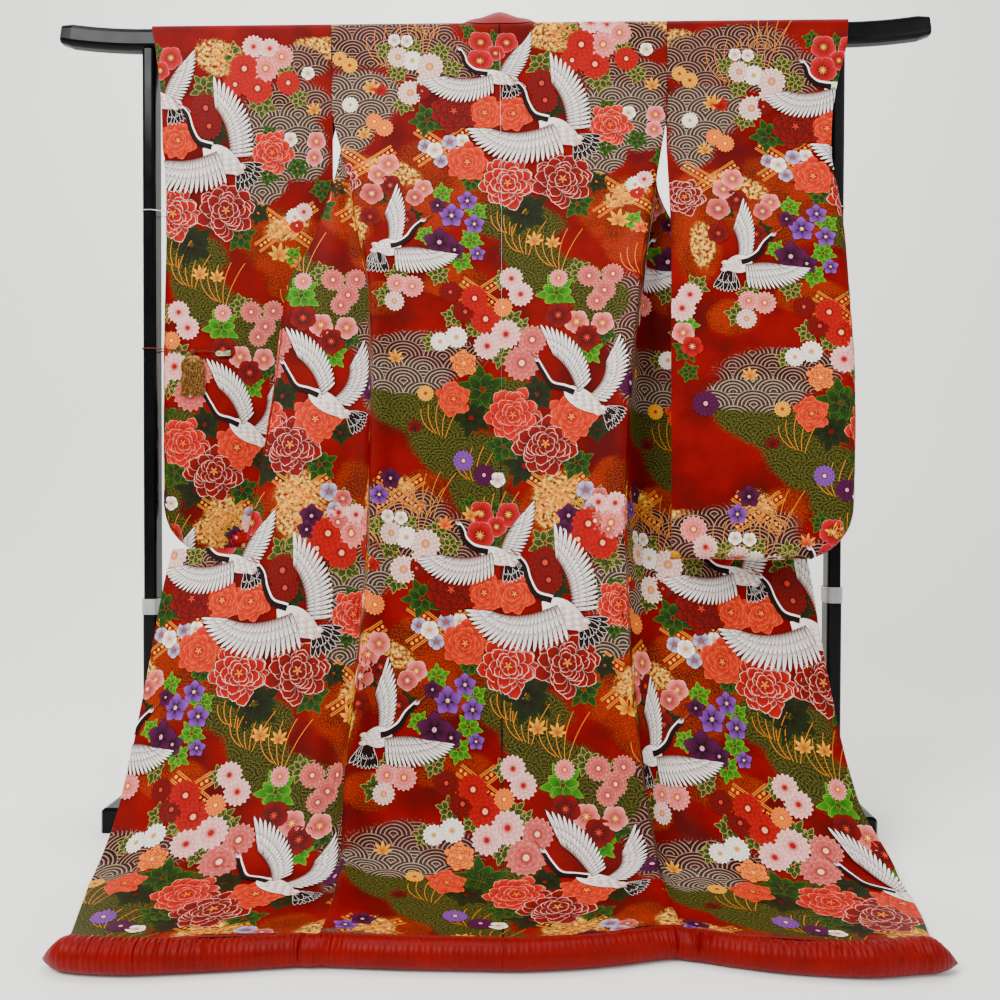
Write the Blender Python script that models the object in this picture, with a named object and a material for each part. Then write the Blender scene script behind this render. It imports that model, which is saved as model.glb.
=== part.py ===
"""An uchikake, the wedding kimono worn unbelted over the others, hung open on a lacquered stand.

Metres, +Z up, +X to the viewer's right, and the garment's back faces -Y. The heights below are above the
floor, and x = 0, y = 0 is midway between the stand's posts. At the end the whole part is shifted, by the
empty that everything is parented to, so that its origin is the bottom centre of its box.
"""

import math
from collections import namedtuple

import bmesh
import bpy
import numpy as np

WALL = 0.003  # brocade, wadding and lining, sewn as one
SEAM_GAP = 0.0003  # between pieces that are sewn to each other
SEAT_GAP = 0.0004  # between the cloth and what it hangs or rests on

# ---- the stand ----
BAR_TOP = 1.498
BAR_HEIGHT = 0.041
BAR_DEPTH = 0.034
BAR_ROUND = 0.010
BAR_HALF = 0.828
BAR_UPTURN = 0.013
BAR_UPTURN_FROM = 0.66
POST_OUTER = 0.670
POST_WIDTH = 0.028
POST_DEPTH = 0.042
POST_ROUND = 0.007
POST_JOINT = {-1: 0.400, 1: 0.430}  # the height at which each side's inner length is clamped
BAND_HEIGHT = 0.030
BAND_PROUD = 0.0015
INNER_POST_TRIM = 0.0015
FOOT_OUTER = 0.686
FOOT_WIDTH = 0.045
FOOT_HEIGHT = 0.044
FOOT_HALF = 0.170
FOOT_ROUND = 0.010
FOOT_END = 0.006  # how far from its ends the foot starts to narrow
FOOT_END_SIZE = 0.80
STRETCHER_Z = 0.150
STRETCHER_HEIGHT = 0.040
STRETCHER_DEPTH = 0.022

# ---- the hang of the cloth: the back's centre line, from the top of the bar to the hem ----
Hang = namedtuple("Hang", "y z")
CREST = BAR_TOP + SEAT_GAP + WALL / 2  # the wall's middle, clear of the bar
TURN_OVER = BAR_ROUND + SEAT_GAP + WALL / 2 + 0.0012
TURN_Y = BAR_DEPTH / 2 - BAR_ROUND
HANG = (
    Hang(0.0, CREST),
    Hang(-0.6 * TURN_Y, CREST),
    *(Hang(-TURN_Y - TURN_OVER * math.sin(a), BAR_TOP - BAR_ROUND + TURN_OVER * math.cos(a))
      for a in map(math.radians, (15, 40, 65, 90))),
    Hang(-TURN_Y - TURN_OVER - 0.0020, 1.440),
    Hang(-0.033, 1.335),
    Hang(-0.062, 1.165),
    Hang(-0.096, 1.000),
    Hang(-0.139, 0.750),
    Hang(-0.182, 0.500),
    Hang(-0.228, 0.300),
    Hang(-0.274, 0.150),
    Hang(-0.318, 0.060),
    Hang(-0.362, 0.018),
    Hang(-0.425, 0.0075),
    Hang(-0.530, 0.0085),
    Hang(-0.585, 0.0210),
    Hang(-0.6040, 0.0325),
)
CENTRE_X = ((0.0, 0.017), (0.45, 0.024), (1.1, 0.028), (1.45, 0.034), (1.8, 0.042))

# ---- one row a level, going down ----
# Distances are out from the centre seam; "out" is how far the cloth stands before the back's centre line,
# along its normal, so behind the bar it is below zero.
Level = namedtuple(
    "Level", "drop ridge ridge_out valley valley_out fold fold_out edge edge_out free free_out"
)
LEFT_LEVELS = (
    Level(0.060, 0.320, 0.000, 0.300, -0.041, 0.270, -0.041, 0.270, -0.041, 0.098, -0.042),
    Level(0.170, 0.319, 0.000, 0.296, -0.052, 0.262, -0.056, 0.262, -0.056, 0.100, -0.060),
    Level(0.338, 0.280, 0.010, 0.286, -0.012, 0.318, -0.012, 0.318, -0.030, 0.125, -0.090),
    Level(0.445, 0.258, 0.022, 0.265, -0.008, 0.348, -0.006, 0.348, -0.020, 0.165, -0.085),
    Level(0.520, 0.239, 0.030, 0.250, -0.006, 0.386, -0.006, 0.386, -0.020, 0.200, -0.078),
    Level(0.760, 0.226, 0.040, 0.242, -0.006, 0.412, -0.010, 0.412, -0.024, 0.250, -0.060),
    Level(1.010, 0.226, 0.044, 0.244, -0.008, 0.450, -0.014, 0.591, -0.040, 0.400, -0.046),
    Level(1.220, 0.236, 0.044, 0.256, -0.006, 0.500, -0.012, 0.620, -0.040, 0.480, -0.040),
    Level(1.420, 0.253, 0.042, 0.276, 0.002, 0.495, 0.000, 0.636, -0.024, 0.480, -0.030),
    Level(1.530, 0.251, 0.030, 0.276, 0.002, 0.493, 0.004, 0.641, -0.006, 0.480, -0.006),
    Level(1.650, 0.246, 0.018, 0.272, 0.004, 0.472, 0.003, 0.613, 0.002, 0.460, 0.000),
    Level(1.800, 0.243, 0.000, 0.270, 0.000, 0.462, 0.000, 0.564, 0.000, 0.460, 0.000),
)
RIGHT_LEVELS = (
    Level(0.060, 0.315, 0.000, 0.300, -0.041, 0.270, -0.041, 0.270, -0.041, 0.092, -0.042),
    Level(0.170, 0.313, 0.000, 0.292, -0.052, 0.262, -0.056, 0.262, -0.056, 0.096, -0.060),
    Level(0.338, 0.284, 0.008, 0.287, -0.032, 0.294, -0.040, 0.294, -0.056, 0.120, -0.090),
    Level(0.445, 0.264, 0.020, 0.274, -0.038, 0.345, -0.044, 0.345, -0.058, 0.160, -0.088),
    Level(0.520, 0.252, 0.028, 0.266, -0.038, 0.372, -0.044, 0.372, -0.058, 0.190, -0.084),
    Level(0.760, 0.224, 0.040, 0.250, -0.036, 0.392, -0.046, 0.392, -0.060, 0.240, -0.076),
    Level(1.010, 0.212, 0.044, 0.258, -0.030, 0.397, -0.040, 0.540, -0.050, 0.350, -0.060),
    Level(1.220, 0.216, 0.044, 0.284, -0.014, 0.420, -0.024, 0.559, -0.040, 0.400, -0.040),
    Level(1.420, 0.229, 0.042, 0.290, -0.004, 0.455, -0.006, 0.581, -0.020, 0.440, -0.020),
    Level(1.530, 0.240, 0.030, 0.280, 0.000, 0.480, 0.004, 0.612, -0.004, 0.460, -0.004),
    Level(1.650, 0.242, 0.018, 0.272, 0.002, 0.474, 0.003, 0.599, 0.002, 0.460, 0.000),
    Level(1.800, 0.242, 0.000, 0.268, 0.000, 0.462, 0.000, 0.558, 0.000, 0.460, 0.000),
)
LEVELS = {-1: LEFT_LEVELS, 1: RIGHT_LEVELS}

HEM_DROP = 1.790
SIDE_SEAM_TOP = 0.338  # below it front and back are one; above it the gap under the arm is open
OKUMI_TOP = 1.010
NECK_HALF = 0.094
NECK_DEPTH = 0.020
SLEEVE_SEAM_DROP = 0.168  # how far down from the shoulder a sleeve is sewn on

# Where the cloth goes along the floor the hem wanders to and fro: x from the centre and y past the centre's.
HEM_LINE = (
    (-0.66, -0.006), (-0.58, -0.010), (-0.51, -0.020), (-0.42, -0.020), (-0.34, -0.010), (-0.25, 0.004),
    (-0.10, 0.000), (0.00, 0.000), (0.09, 0.008), (0.17, 0.026), (0.225, 0.039), (0.265, 0.032),
    (0.34, 0.009), (0.41, 0.000), (0.47, 0.004), (0.53, 0.015), (0.58, 0.018), (0.66, 0.020),
)
FUKI_RADIUS = 0.0200
FUKI_AHEAD = 0.0178  # from the hem's edge to the middle of the roll
FUKI_SIDES = 12
FUKI_FULLER = 0.13  # it is stuffed this much thicker towards its ends, from the first place to the second
FUKI_FULLER_FROM = (0.36, 0.50)
FUKI_FULLER_AHEAD = 1.6  # how much further ahead the middle goes for what the radius gains
FUKI_POINT = 0.042  # the length over which its end tapers
FUKI_BEYOND = (0.005, 0.010, 0.015, 0.0185, 0.021, 0.022)  # its last rings, from the okumi's edge
FUKI_POWER = 1.9
FUKI_TIP_RISE = 0.45

# Soft pipes and troughs that run down the panels: where each starts and ends across (from the centre seam,
# left below zero) and down, its half width and its height.
Fold = namedtuple("Fold", "across_top across_low top low half height")
FOLDS = (
    Fold(-0.120, -0.150, 0.30, 1.75, 0.050, 0.008),
    Fold(0.110, 0.135, 0.25, 1.75, 0.045, 0.008),
    Fold(-0.010, -0.012, 0.55, 1.70, 0.040, -0.007),
    Fold(-0.330, -0.350, 0.75, 1.72, 0.040, 0.016),
    Fold(-0.410, -0.415, 1.05, 1.72, 0.030, -0.010),
    Fold(0.315, 0.355, 0.95, 1.72, 0.036, 0.020),
    Fold(0.390, 0.415, 1.05, 1.72, 0.030, -0.010),
    Fold(-0.545, -0.560, 1.12, 1.70, 0.030, 0.012),
    Fold(0.500, 0.545, 1.12, 1.70, 0.030, 0.012),
)

# ---- the sleeves ----
# How far each goes from the centre at the inner and outer edge, how far its middle hangs before the bar's
# line, and half the room between its two layers, at the shoulder side and at the cuff.
SleeveLevel = namedtuple("SleeveLevel", "drop inner outer middle half cuff_half")
LEFT_SLEEVE = (
    SleeveLevel(0.000, 0.320, 0.6700, 0.000, 0.0225, 0.0225),
    SleeveLevel(0.060, 0.320, 0.6580, 0.000, 0.0225, 0.0225),
    SleeveLevel(0.168, 0.319, 0.6475, 0.000, 0.0260, 0.0230),
    SleeveLevel(0.320, 0.322, 0.6490, -0.002, 0.0200, 0.0200),
    SleeveLevel(0.600, 0.320, 0.6570, -0.006, 0.0190, 0.0180),
    SleeveLevel(0.850, 0.316, 0.6600, -0.010, 0.0200, 0.0180),
    SleeveLevel(1.025, 0.312, 0.6600, -0.012, 0.0200, 0.0180),
)
RIGHT_SLEEVE = (
    SleeveLevel(0.000, 0.315, 0.6580, 0.000, 0.0225, 0.0290),
    SleeveLevel(0.060, 0.315, 0.6500, 0.000, 0.0225, 0.0290),
    SleeveLevel(0.168, 0.313, 0.6240, 0.004, 0.0260, 0.0260),
    SleeveLevel(0.260, 0.309, 0.6140, 0.022, 0.0210, 0.0210),
    SleeveLevel(0.350, 0.309, 0.6205, 0.050, 0.0170, 0.0180),
    SleeveLevel(0.450, 0.308, 0.6250, 0.078, 0.0170, 0.0180),
    SleeveLevel(0.650, 0.302, 0.6255, 0.122, 0.0180, 0.0180),
    SleeveLevel(0.850, 0.296, 0.6130, 0.172, 0.0190, 0.0180),
    SleeveLevel(1.035, 0.292, 0.5990, 0.204, 0.0190, 0.0180),
)
SLEEVES = {-1: LEFT_SLEEVE, 1: RIGHT_SLEEVE}
SLEEVE_LENGTH = {-1: 1.025, 1: 1.035}
CUFF_OPEN_TO = 0.24  # the cuff is open this far down, and sewn below
CORNER_RADIUS = 0.090
EDGE_ROUND = 0.020  # how near the sewn edge the two layers start to close
EDGE_MEETING = 0.0012
REAR_INSET = 0.011  # the layer behind the bar starts this much further from the body, below the shoulder

# ---- the collar, a band of doubled brocade from one front's edge round the neck to the other's ----
COLLAR_WIDTH = 0.075
COLLAR_WALL = 0.004
COLLAR_COLUMNS = 7
COLLAR_CLEAR = 0.0060  # the middle of the collar's wall from the bar, where it goes over
# It is sewn to the neck cut and then down the front's edge, stands over the bar and falls behind it: where
# the crown and the free edge are, from the centre seam, for the seam's places one after the other.
Fan = namedtuple("Fan", "crown_x crown_y crown_z edge_x edge_y edge_z")
NECK_FAN = (
    Fan(0.000, -0.002, 1.5260, 0.0000, 0.0380, 1.470),
    Fan(0.034, -0.002, 1.5165, 0.0150, 0.0385, 1.466),
    Fan(0.044, 0.000, 1.5140, 0.0240, 0.0390, 1.461),
    Fan(0.052, 0.002, 1.5120, 0.0310, 0.0395, 1.455),
    Fan(0.059, 0.005, 1.5100, 0.0370, 0.0400, 1.448),
    Fan(0.066, 0.009, 1.5080, 0.0410, 0.0400, 1.440),
    Fan(0.072, 0.014, 1.5065, 0.0430, 0.0400, 1.431),
)
FRONT_FAN = (
    Fan(0.076, 0.018, 1.5045, 0.0430, 0.0395, 1.424),
    Fan(0.077, 0.021, 1.5030, 0.0420, 0.0395, 1.418),
    Fan(0.078, 0.024, 1.4970, 0.0410, 0.0390, 1.412),
    Fan(0.078, 0.0260, 1.4910, 0.0400, 0.0385, 1.406),
    Fan(0.078, 0.0275, 1.4850, 0.0390, 0.0380, 1.400),
    Fan(0.077, 0.0285, 1.4770, 0.0380, 0.0375, 1.394),
    Fan(0.070, 0.0280, 1.4280, 0.0300, 0.0350, 1.368),
)

# ---- the ties ----
THREAD_RADIUS = 0.0009
THREAD_Z = 1.140
CORD_RADIUS = 0.0012
CORD_Z = 0.877
KNOT_X = -0.571
KNOT_RADIUS = 0.0062
TASSEL_SWAY = 0.0009
TASSEL_SPREAD = 0.10  # how much the outermost strands lean out, of their length
Tassel = namedtuple(
    "Tassel", "name x z along_x along_z width deep head strands_across strands_deep reach colour"
)
TASSELS = (
    Tassel(
        "tassel_gold", KNOT_X, CORD_Z - 0.0075, 0, -1, 0.042, 0.0090, 0.009, 15, 4, 0.070, (0.36, 0.23, 0.09)
    ),
    Tassel(
        "tassel_pale", KNOT_X + 0.045, CORD_Z - 0.0015, 1, -0.12, 0.010, 0.0075, 0.006, 5, 4, 0.022,
        (0.62, 0.55, 0.24),
    ),
)


# ---------------------------------------------------------------- curves and walls


def smooth(points, steps, before=None):
    """A centripetal Catmull-Rom curve through the points, with this many steps to each span. before is the
    point that a longer curve would come from."""
    p = np.asarray(points, float)
    ends = np.vstack([2 * p[0] - p[1] if before is None else before, p, 2 * p[-1] - p[-2]])
    out = []
    for i in range(1, len(ends) - 2):
        q = ends[i - 1 : i + 3]
        t = np.concatenate([[0.0], np.cumsum(np.sqrt(np.linalg.norm(np.diff(q, axis=0), axis=1)) + 1e-9)])
        u = np.linspace(t[1], t[2], steps, endpoint=False)[:, None]
        a = [((t[k + 1] - u) * q[k] + (u - t[k]) * q[k + 1]) / (t[k + 1] - t[k]) for k in range(3)]
        b = [((t[k + 2] - u) * a[k] + (u - t[k]) * a[k + 1]) / (t[k + 2] - t[k]) for k in range(2)]
        out.append(((t[2] - u) * b[0] + (u - t[1]) * b[1]) / (t[2] - t[1]))
    out.append(p[-1:])
    return np.vstack(out)


def along(curve, places):
    """Points of a dense curve at these lengths from its start."""
    run = np.concatenate([[0.0], np.cumsum(np.linalg.norm(np.diff(curve, axis=0), axis=1))])
    return np.stack([np.interp(places, run, curve[:, k]) for k in range(curve.shape[1])], axis=-1)


def length(curve):
    return float(np.linalg.norm(np.diff(curve, axis=0), axis=1).sum())


def headings(curve, places):
    """The curve's directions at these lengths."""
    step = 0.001
    run = length(curve)
    t = along(curve, np.minimum(np.asarray(places) + step, run)) - along(curve, np.maximum(places - step, 0))
    return t / np.linalg.norm(t, axis=-1, keepdims=True)


def eased(rows, x):
    """Reads a table of (x, value) rows with no overshoot, by a cubic with limited slopes."""
    xs, ys = (np.array(c, float) for c in zip(*rows))
    h, d = np.diff(xs), np.diff(ys) / np.diff(xs)
    m = np.zeros_like(ys)
    m[0], m[-1] = d[0], d[-1]
    for i in range(1, len(ys) - 1):
        if d[i - 1] * d[i] > 0:
            w0, w1 = 2 * h[i] + h[i - 1], h[i] + 2 * h[i - 1]
            m[i] = (w0 + w1) / (w0 / d[i - 1] + w1 / d[i])
    x = np.clip(x, xs[0], xs[-1])
    i = np.clip(np.searchsorted(xs, x) - 1, 0, len(h) - 1)
    t = (x - xs[i]) / h[i]
    return (
        (1 + 2 * t) * (1 - t) ** 2 * ys[i]
        + t * (1 - t) ** 2 * h[i] * m[i]
        + t * t * (3 - 2 * t) * ys[i + 1]
        + t * t * (t - 1) * h[i] * m[i + 1]
    )


def step_up(x, low, high):
    t = min(max((x - low) / (high - low), 0.0), 1.0)
    return t * t * (3 - 2 * t)


def material(name, colour, roughness, metallic=0.0):
    made = bpy.data.materials.new(name)
    made.use_nodes = True
    shader = made.node_tree.nodes["Principled BSDF"]
    shader.inputs["Base Color"].default_value = (*colour, 1.0)
    shader.inputs["Roughness"].default_value = roughness
    shader.inputs["Metallic"].default_value = metallic
    return made


def solid(name, vertices, faces, finish):
    """One closed body from its vertices and faces, turned outwards, with its flat areas kept flat."""
    mesh = bpy.data.meshes.new(name)
    mesh.from_pydata([tuple(map(float, v)) for v in vertices], [], faces)
    mesh.validate()
    volume = sum(
        a.co.dot(b.co.cross(c.co))
        for f in mesh.polygons
        for a, b, c in [[mesh.vertices[k] for k in (f.vertices[0], f.vertices[i], f.vertices[i + 1])]
                        for i in range(1, len(f.vertices) - 1)]
    )
    if volume < 0:
        mesh.flip_normals()
    mesh.shade_smooth()
    mesh.set_sharp_from_angle(angle=math.radians(40))
    mesh.materials.append(finish)
    made = bpy.data.objects.new(name, mesh)
    bpy.context.scene.collection.objects.link(made)
    made.parent = whole
    return made


def cloth(name, grid, finish, across=None, wall=WALL, kept=None):
    """A wall of cloth about a grid of middle points, rows going down. across holds the directions along the
    rows, where the cloth goes on beyond the grid, and kept says which cells there are."""
    grid = np.asarray(grid, float)
    rows, columns = grid.shape[:2]
    kept = np.ones((rows - 1, columns - 1), bool) if kept is None else kept
    used = np.zeros((rows, columns), bool)
    for j, i in zip(*np.nonzero(kept)):
        used[j : j + 2, i : i + 2] = True
    across = np.gradient(grid, axis=1) if across is None else np.asarray(across, float)
    down = np.gradient(grid, axis=0)
    for j, i in zip(*np.nonzero(used)):
        if j + 1 < rows and not used[j + 1, i] and j > 0:
            down[j, i] = grid[j, i] - grid[j - 1, i]
    normal = np.cross(across, down)
    normal /= np.maximum(np.linalg.norm(normal, axis=2, keepdims=True), 1e-12)
    index = -np.ones((rows, columns), int)
    index[used] = np.arange(used.sum())
    front = grid[used] + normal[used] * wall / 2
    back = grid[used] - normal[used] * wall / 2
    count = len(front)
    faces, edges = [], {}
    for j, i in zip(*np.nonzero(kept)):
        ring = [int(index[j, i]), int(index[j, i + 1]), int(index[j + 1, i + 1]), int(index[j + 1, i])]
        faces.append(ring)
        faces.append([k + count for k in reversed(ring)])
        for a, b in zip(ring, ring[1:] + ring[:1]):
            edges[a, b] = True
    for a, b in edges:
        if (b, a) not in edges:
            faces.append([b, a, a + count, b + count])
    return solid(name, np.vstack([front, back]), faces, finish)


def tube(name, middles, outline, finish, tangents=None):
    """Rings of outline(k), points of (side, up) about each middle, joined and capped, along the middles."""
    middles = np.asarray(middles, float)
    tangents = np.gradient(middles, axis=0) if tangents is None else tangents
    tangents /= np.linalg.norm(tangents, axis=1, keepdims=True)
    vertices, faces, sides = [], [], len(outline(0))
    for k, (m, t) in enumerate(zip(middles, tangents)):
        side = np.cross(t, (0.0, 0.0, 1.0))
        side /= np.linalg.norm(side)
        up = np.cross(side, t)
        vertices += [m + a * side + b * up for a, b in outline(k)]
    for k in range(len(middles) - 1):
        for i in range(sides):
            j = (i + 1) % sides
            faces.append([k * sides + i, k * sides + j, (k + 1) * sides + j, (k + 1) * sides + i])
    faces.append(list(reversed(range(sides))))
    faces.append([(len(middles) - 1) * sides + i for i in range(sides)])
    return solid(name, vertices, faces, finish)


def rounded(width, height, radius, arc=3):
    """A rectangle's outline with round corners, anticlockwise, as (across, up) points."""
    out = []
    for cx, cy, start in ((1, -1, -90), (1, 1, 0), (-1, 1, 90), (-1, -1, 180)):
        for k in range(arc + 1):
            a = math.radians(start + 90 * k / arc)
            out.append((cx * (width / 2 - radius) + radius * math.cos(a),
                        cy * (height / 2 - radius) + radius * math.sin(a)))
    return out


# ---------------------------------------------------------------- the stand


def prism(name, outline, place, finish):
    """A flat-ended bar: place(a, b, end) puts the outline's point (a, b) at either end, 0 or 1."""
    n = len(outline)
    vertices = [place(a, b, end) for end in (0, 1) for a, b in outline]
    faces = [[i, (i + 1) % n, n + (i + 1) % n, n + i] for i in range(n)]
    faces += [list(reversed(range(n))), list(range(n, 2 * n))]
    return solid(name, vertices, faces, finish)


def bar(finish):
    """The top bar, level for most of its length and turned up at both ends."""
    xs = np.concatenate([np.linspace(-BAR_HALF, -BAR_UPTURN_FROM, 9), np.linspace(-0.5, 0.5, 5),
                         np.linspace(BAR_UPTURN_FROM, BAR_HALF, 9)])
    rise = BAR_UPTURN * (np.maximum(np.abs(xs) - BAR_UPTURN_FROM, 0) / (BAR_HALF - BAR_UPTURN_FROM)) ** 2
    middles = np.stack([xs, 0 * xs, BAR_TOP - BAR_HEIGHT / 2 + rise], axis=1)
    last = len(xs) - 1

    def outline(k):
        trim = 0.82 if k in (0, last) else 1.0
        return [(trim * a, trim * b) for a, b in rounded(BAR_DEPTH, BAR_HEIGHT, BAR_ROUND)]

    tube("bar", middles, outline, finish)


def post(side, name, low, high, trim, finish):
    """One length of a post, of round-cornered box section; trim makes the inner length finer."""
    x = side * (POST_OUTER - POST_WIDTH / 2)
    outline = rounded(POST_WIDTH - 2 * trim, POST_DEPTH - 2 * trim, POST_ROUND - trim / 2)
    prism(name, outline, lambda a, b, end: (x + a, b, high if end else low), finish)


def band(side, name, finish):
    """The collar that clamps the inner length of the post, round the top of the outer length."""
    x = side * (POST_OUTER - POST_WIDTH / 2)
    inner = rounded(POST_WIDTH + 2 * SEAM_GAP, POST_DEPTH + 2 * SEAM_GAP, POST_ROUND)
    proud = 2 * (BAND_PROUD + SEAM_GAP)
    outer = rounded(POST_WIDTH + proud, POST_DEPTH + proud, POST_ROUND + BAND_PROUD)
    n, low, high = len(inner), POST_JOINT[side] - BAND_HEIGHT, POST_JOINT[side]
    vertices = [(x + a, b, z) for z in (low, high) for ring in (inner, outer) for a, b in ring]
    faces = []
    for i in range(n):
        j = (i + 1) % n
        faces.append([i, j, n + j, n + i])
        faces.append([2 * n + i, 3 * n + i, 3 * n + j, 2 * n + j])
        faces.append([n + i, n + j, 3 * n + j, 3 * n + i])
        faces.append([j, i, 2 * n + i, 2 * n + j])
    solid(name, vertices, faces, finish)


def foot(side, name, finish):
    """A bar that runs front to back along the floor, with its top edges and its ends rounded off."""
    x = side * (FOOT_OUTER - FOOT_WIDTH / 2)
    w, h, r = FOOT_WIDTH / 2, FOOT_HEIGHT, FOOT_ROUND
    top = [(w - r + r * math.cos(a), h - r + r * math.sin(a)) for a in np.linspace(0, math.pi / 2, 4)]
    outline = [(-w, 0.0), (w, 0.0)] + top + [(-a, b) for a, b in reversed(top)]
    ends = ((-FOOT_HALF, FOOT_END_SIZE), (FOOT_END - FOOT_HALF, 1.0),
            (FOOT_HALF - FOOT_END, 1.0), (FOOT_HALF, FOOT_END_SIZE))
    n = len(outline)
    vertices = [(x + a * k, y, b * (0.5 + 0.5 * k)) for y, k in ends for a, b in outline]
    faces = [[s * n + i, s * n + (i + 1) % n, (s + 1) * n + (i + 1) % n, (s + 1) * n + i]
             for s in range(len(ends) - 1) for i in range(n)]
    faces += [list(reversed(range(n))), [3 * n + i for i in range(n)]]
    solid(name, vertices, faces, finish)


def stand():
    lacquer = material("black_lacquer", (0.012, 0.012, 0.014), 0.18)
    clamp = material("clamp_grey", (0.30, 0.30, 0.31), 0.45)
    bar(lacquer)
    for side, word in ((-1, "left"), (1, "right")):
        under_bar, joint = BAR_TOP - BAR_HEIGHT - SEAM_GAP, POST_JOINT[side]
        post(side, f"post_{word}_upper", joint + SEAM_GAP, under_bar, INNER_POST_TRIM, lacquer)
        post(side, f"post_{word}_lower", FOOT_HEIGHT + SEAM_GAP, joint, 0.0, lacquer)
        band(side, f"post_band_{word}", clamp)
        foot(side, f"foot_{word}", lacquer)
    reach = POST_OUTER - POST_WIDTH - SEAM_GAP
    outline = rounded(STRETCHER_DEPTH, STRETCHER_HEIGHT, 0.006)
    prism("stretcher", outline, lambda a, b, end: ((2 * end - 1) * reach, a, STRETCHER_Z + b), lacquer)


# ---------------------------------------------------------------- the body of the kimono

HANG_CURVE = smooth([(h.y, h.z) for h in HANG], 40)
HANG_LENGTH = length(HANG_CURVE)


def hang(drop):
    """(y, z) and the outward normal of the back's centre line, this far down from the shoulder."""
    at = drop * HANG_LENGTH / HEM_DROP
    before, here, after = along(HANG_CURVE, np.array([at - 0.002, at, at + 0.002]))
    t = after - before
    t /= np.linalg.norm(t)
    return here, np.array([t[1], -t[0]])


def level(side, drop):
    """The level's sizes at this drop, as a Level."""
    rows = LEVELS[side]
    values = [eased([(r.drop, getattr(r, c)) for r in rows], drop) for c in Level._fields[1:]]
    return Level(drop, *map(float, values))


def placed(side, drop, out_from_centre, out):
    """The point that lies so far from the centre seam and stands out so far, with the soft folds added."""
    (y, z), n = hang(drop)
    across = side * out_from_centre
    for f in FOLDS:
        share = (drop - f.top) / (f.low - f.top)
        if 0 < share < 1:
            middle = f.across_top + (f.across_low - f.across_top) * share
            swell = math.sin(math.pi * share) ** 0.7
            out += f.height * swell * math.exp(-(((across - middle) / f.half) ** 2))
    low = step_up(drop, 1.45, HEM_DROP)
    y += low * float(eased(HEM_LINE, across))
    return (across + float(eased(CENTRE_X, drop)), y + out * n[0], z + out * n[1])


ROW_STEPS = 8
LAPEL_TURN = 0.011  # how far the lapel's fold curves back on itself
BACK_POINTS = 8  # the back's side seam is the last of these


def side_row(side, drop):
    """The cloth's curve across one side at a level, and the lengths along it of the side seam, the front's
    fold or okumi seam, and the okumi's edge. Above the side seam's top there is only the back."""
    s = level(side, drop)
    low = 1 - step_up(drop, 1.50, HEM_DROP)
    roll = step_up(drop, 0.25, 0.45)
    w, c = s.ridge, s.ridge_out
    points = [
        (0.0, 0.0), (0.08 * w, 0.0), (0.28 * w, 0.08 * c), (0.55 * w, 0.22 * c), (w - 0.040, 0.62 * c),
        (w - 0.018, 0.93 * c), (w - 0.004, c), (w + 0.002 * roll, c - (0.0035 + 0.011 * low) * roll),
    ]
    if drop >= SIDE_SEAM_TOP:
        span, reach = s.fold - s.valley, s.edge - s.fold
        seam_out = points[-1][1]
        points += [
            (s.valley - 0.25 * (s.valley - w), s.valley_out + 0.15 * (seam_out - s.valley_out)),
            (s.valley + 0.16 * span, s.valley_out),
            (s.valley + 0.55 * span, 0.5 * (s.valley_out + s.fold_out) + 0.004),
            (s.fold, s.fold_out),
        ]
        if drop >= OKUMI_TOP:
            fall = s.edge_out - s.fold_out
            slope = ((0.35, 0.25), (0.7, 0.65), (1, 1))
            points += [(s.fold + f * reach, s.fold_out + g * fall) for f, g in slope]
    beyond_centre = placed(-side, drop, 0.08 * w, 0.0)
    curve = smooth([placed(side, drop, a, o) for a, o in points], ROW_STEPS, before=beyond_centre)
    run = np.concatenate([[0.0], np.cumsum(np.linalg.norm(np.diff(curve, axis=0), axis=1))])
    knots = (BACK_POINTS - 1, BACK_POINTS + 3, len(points) - 1)
    stops = [float(run[k * ROW_STEPS]) for k in knots if k < len(points)]
    return curve, stops


def turned_row(side, drop):
    """Above the okumi the front is turned back at its fold, like a lapel, and goes in again behind."""
    s, turn = level(side, drop), LAPEL_TURN
    points = [
        (s.fold, s.fold_out), (s.fold + 0.005, s.fold_out - 0.6 * turn),
        (s.fold + 0.001, s.fold_out - 1.6 * turn), (s.fold - 0.014, s.fold_out - 2 * turn),
        (0.5 * (s.fold + s.free), 0.45 * (s.fold_out - 2 * turn) + 0.55 * s.free_out), (s.free, s.free_out),
    ]
    return smooth([placed(side, drop, p, q) for p, q in points], 8)


def neck(across):
    """How far below the shoulder the back's top edge is cut for the neck."""
    return NECK_DEPTH * (1 - step_up(abs(across), 0.40 * NECK_HALF, NECK_HALF))


BACK_COLUMNS = (
    0.0, 0.12, 0.16, 0.19, 0.22, 0.25, 0.28, 0.31, 0.42, 0.55, 0.70, 0.82, 0.90, 0.95, 0.98, 1.0,
)
FRONT_COLUMNS = (0.0, 0.06, 0.14, 0.25, 0.40, 0.60, 0.80, 0.93, 1.0)
TURN_PLACES = (0.008, 0.017, 0.029, 0.045)
TURN_SHARES = (0.33, 0.67, 1.0)
OKUMI_COLUMNS = (0.0, 0.25, 0.5, 0.75, 1.0)
DROPS = (
    SEAM_GAP / 2, 0.0035, 0.007, 0.012, 0.017, 0.022, 0.028, 0.060, 0.110, SLEEVE_SEAM_DROP, 0.225, 0.285,
    SIDE_SEAM_TOP, 0.390, 0.445, 0.520, 0.640, 0.760, 0.880, 1.000, OKUMI_TOP, 1.115, 1.220, 1.320, 1.410,
    1.470, 1.515, 1.560, 1.630, 1.710, 1.755, HEM_DROP,
)


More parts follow.
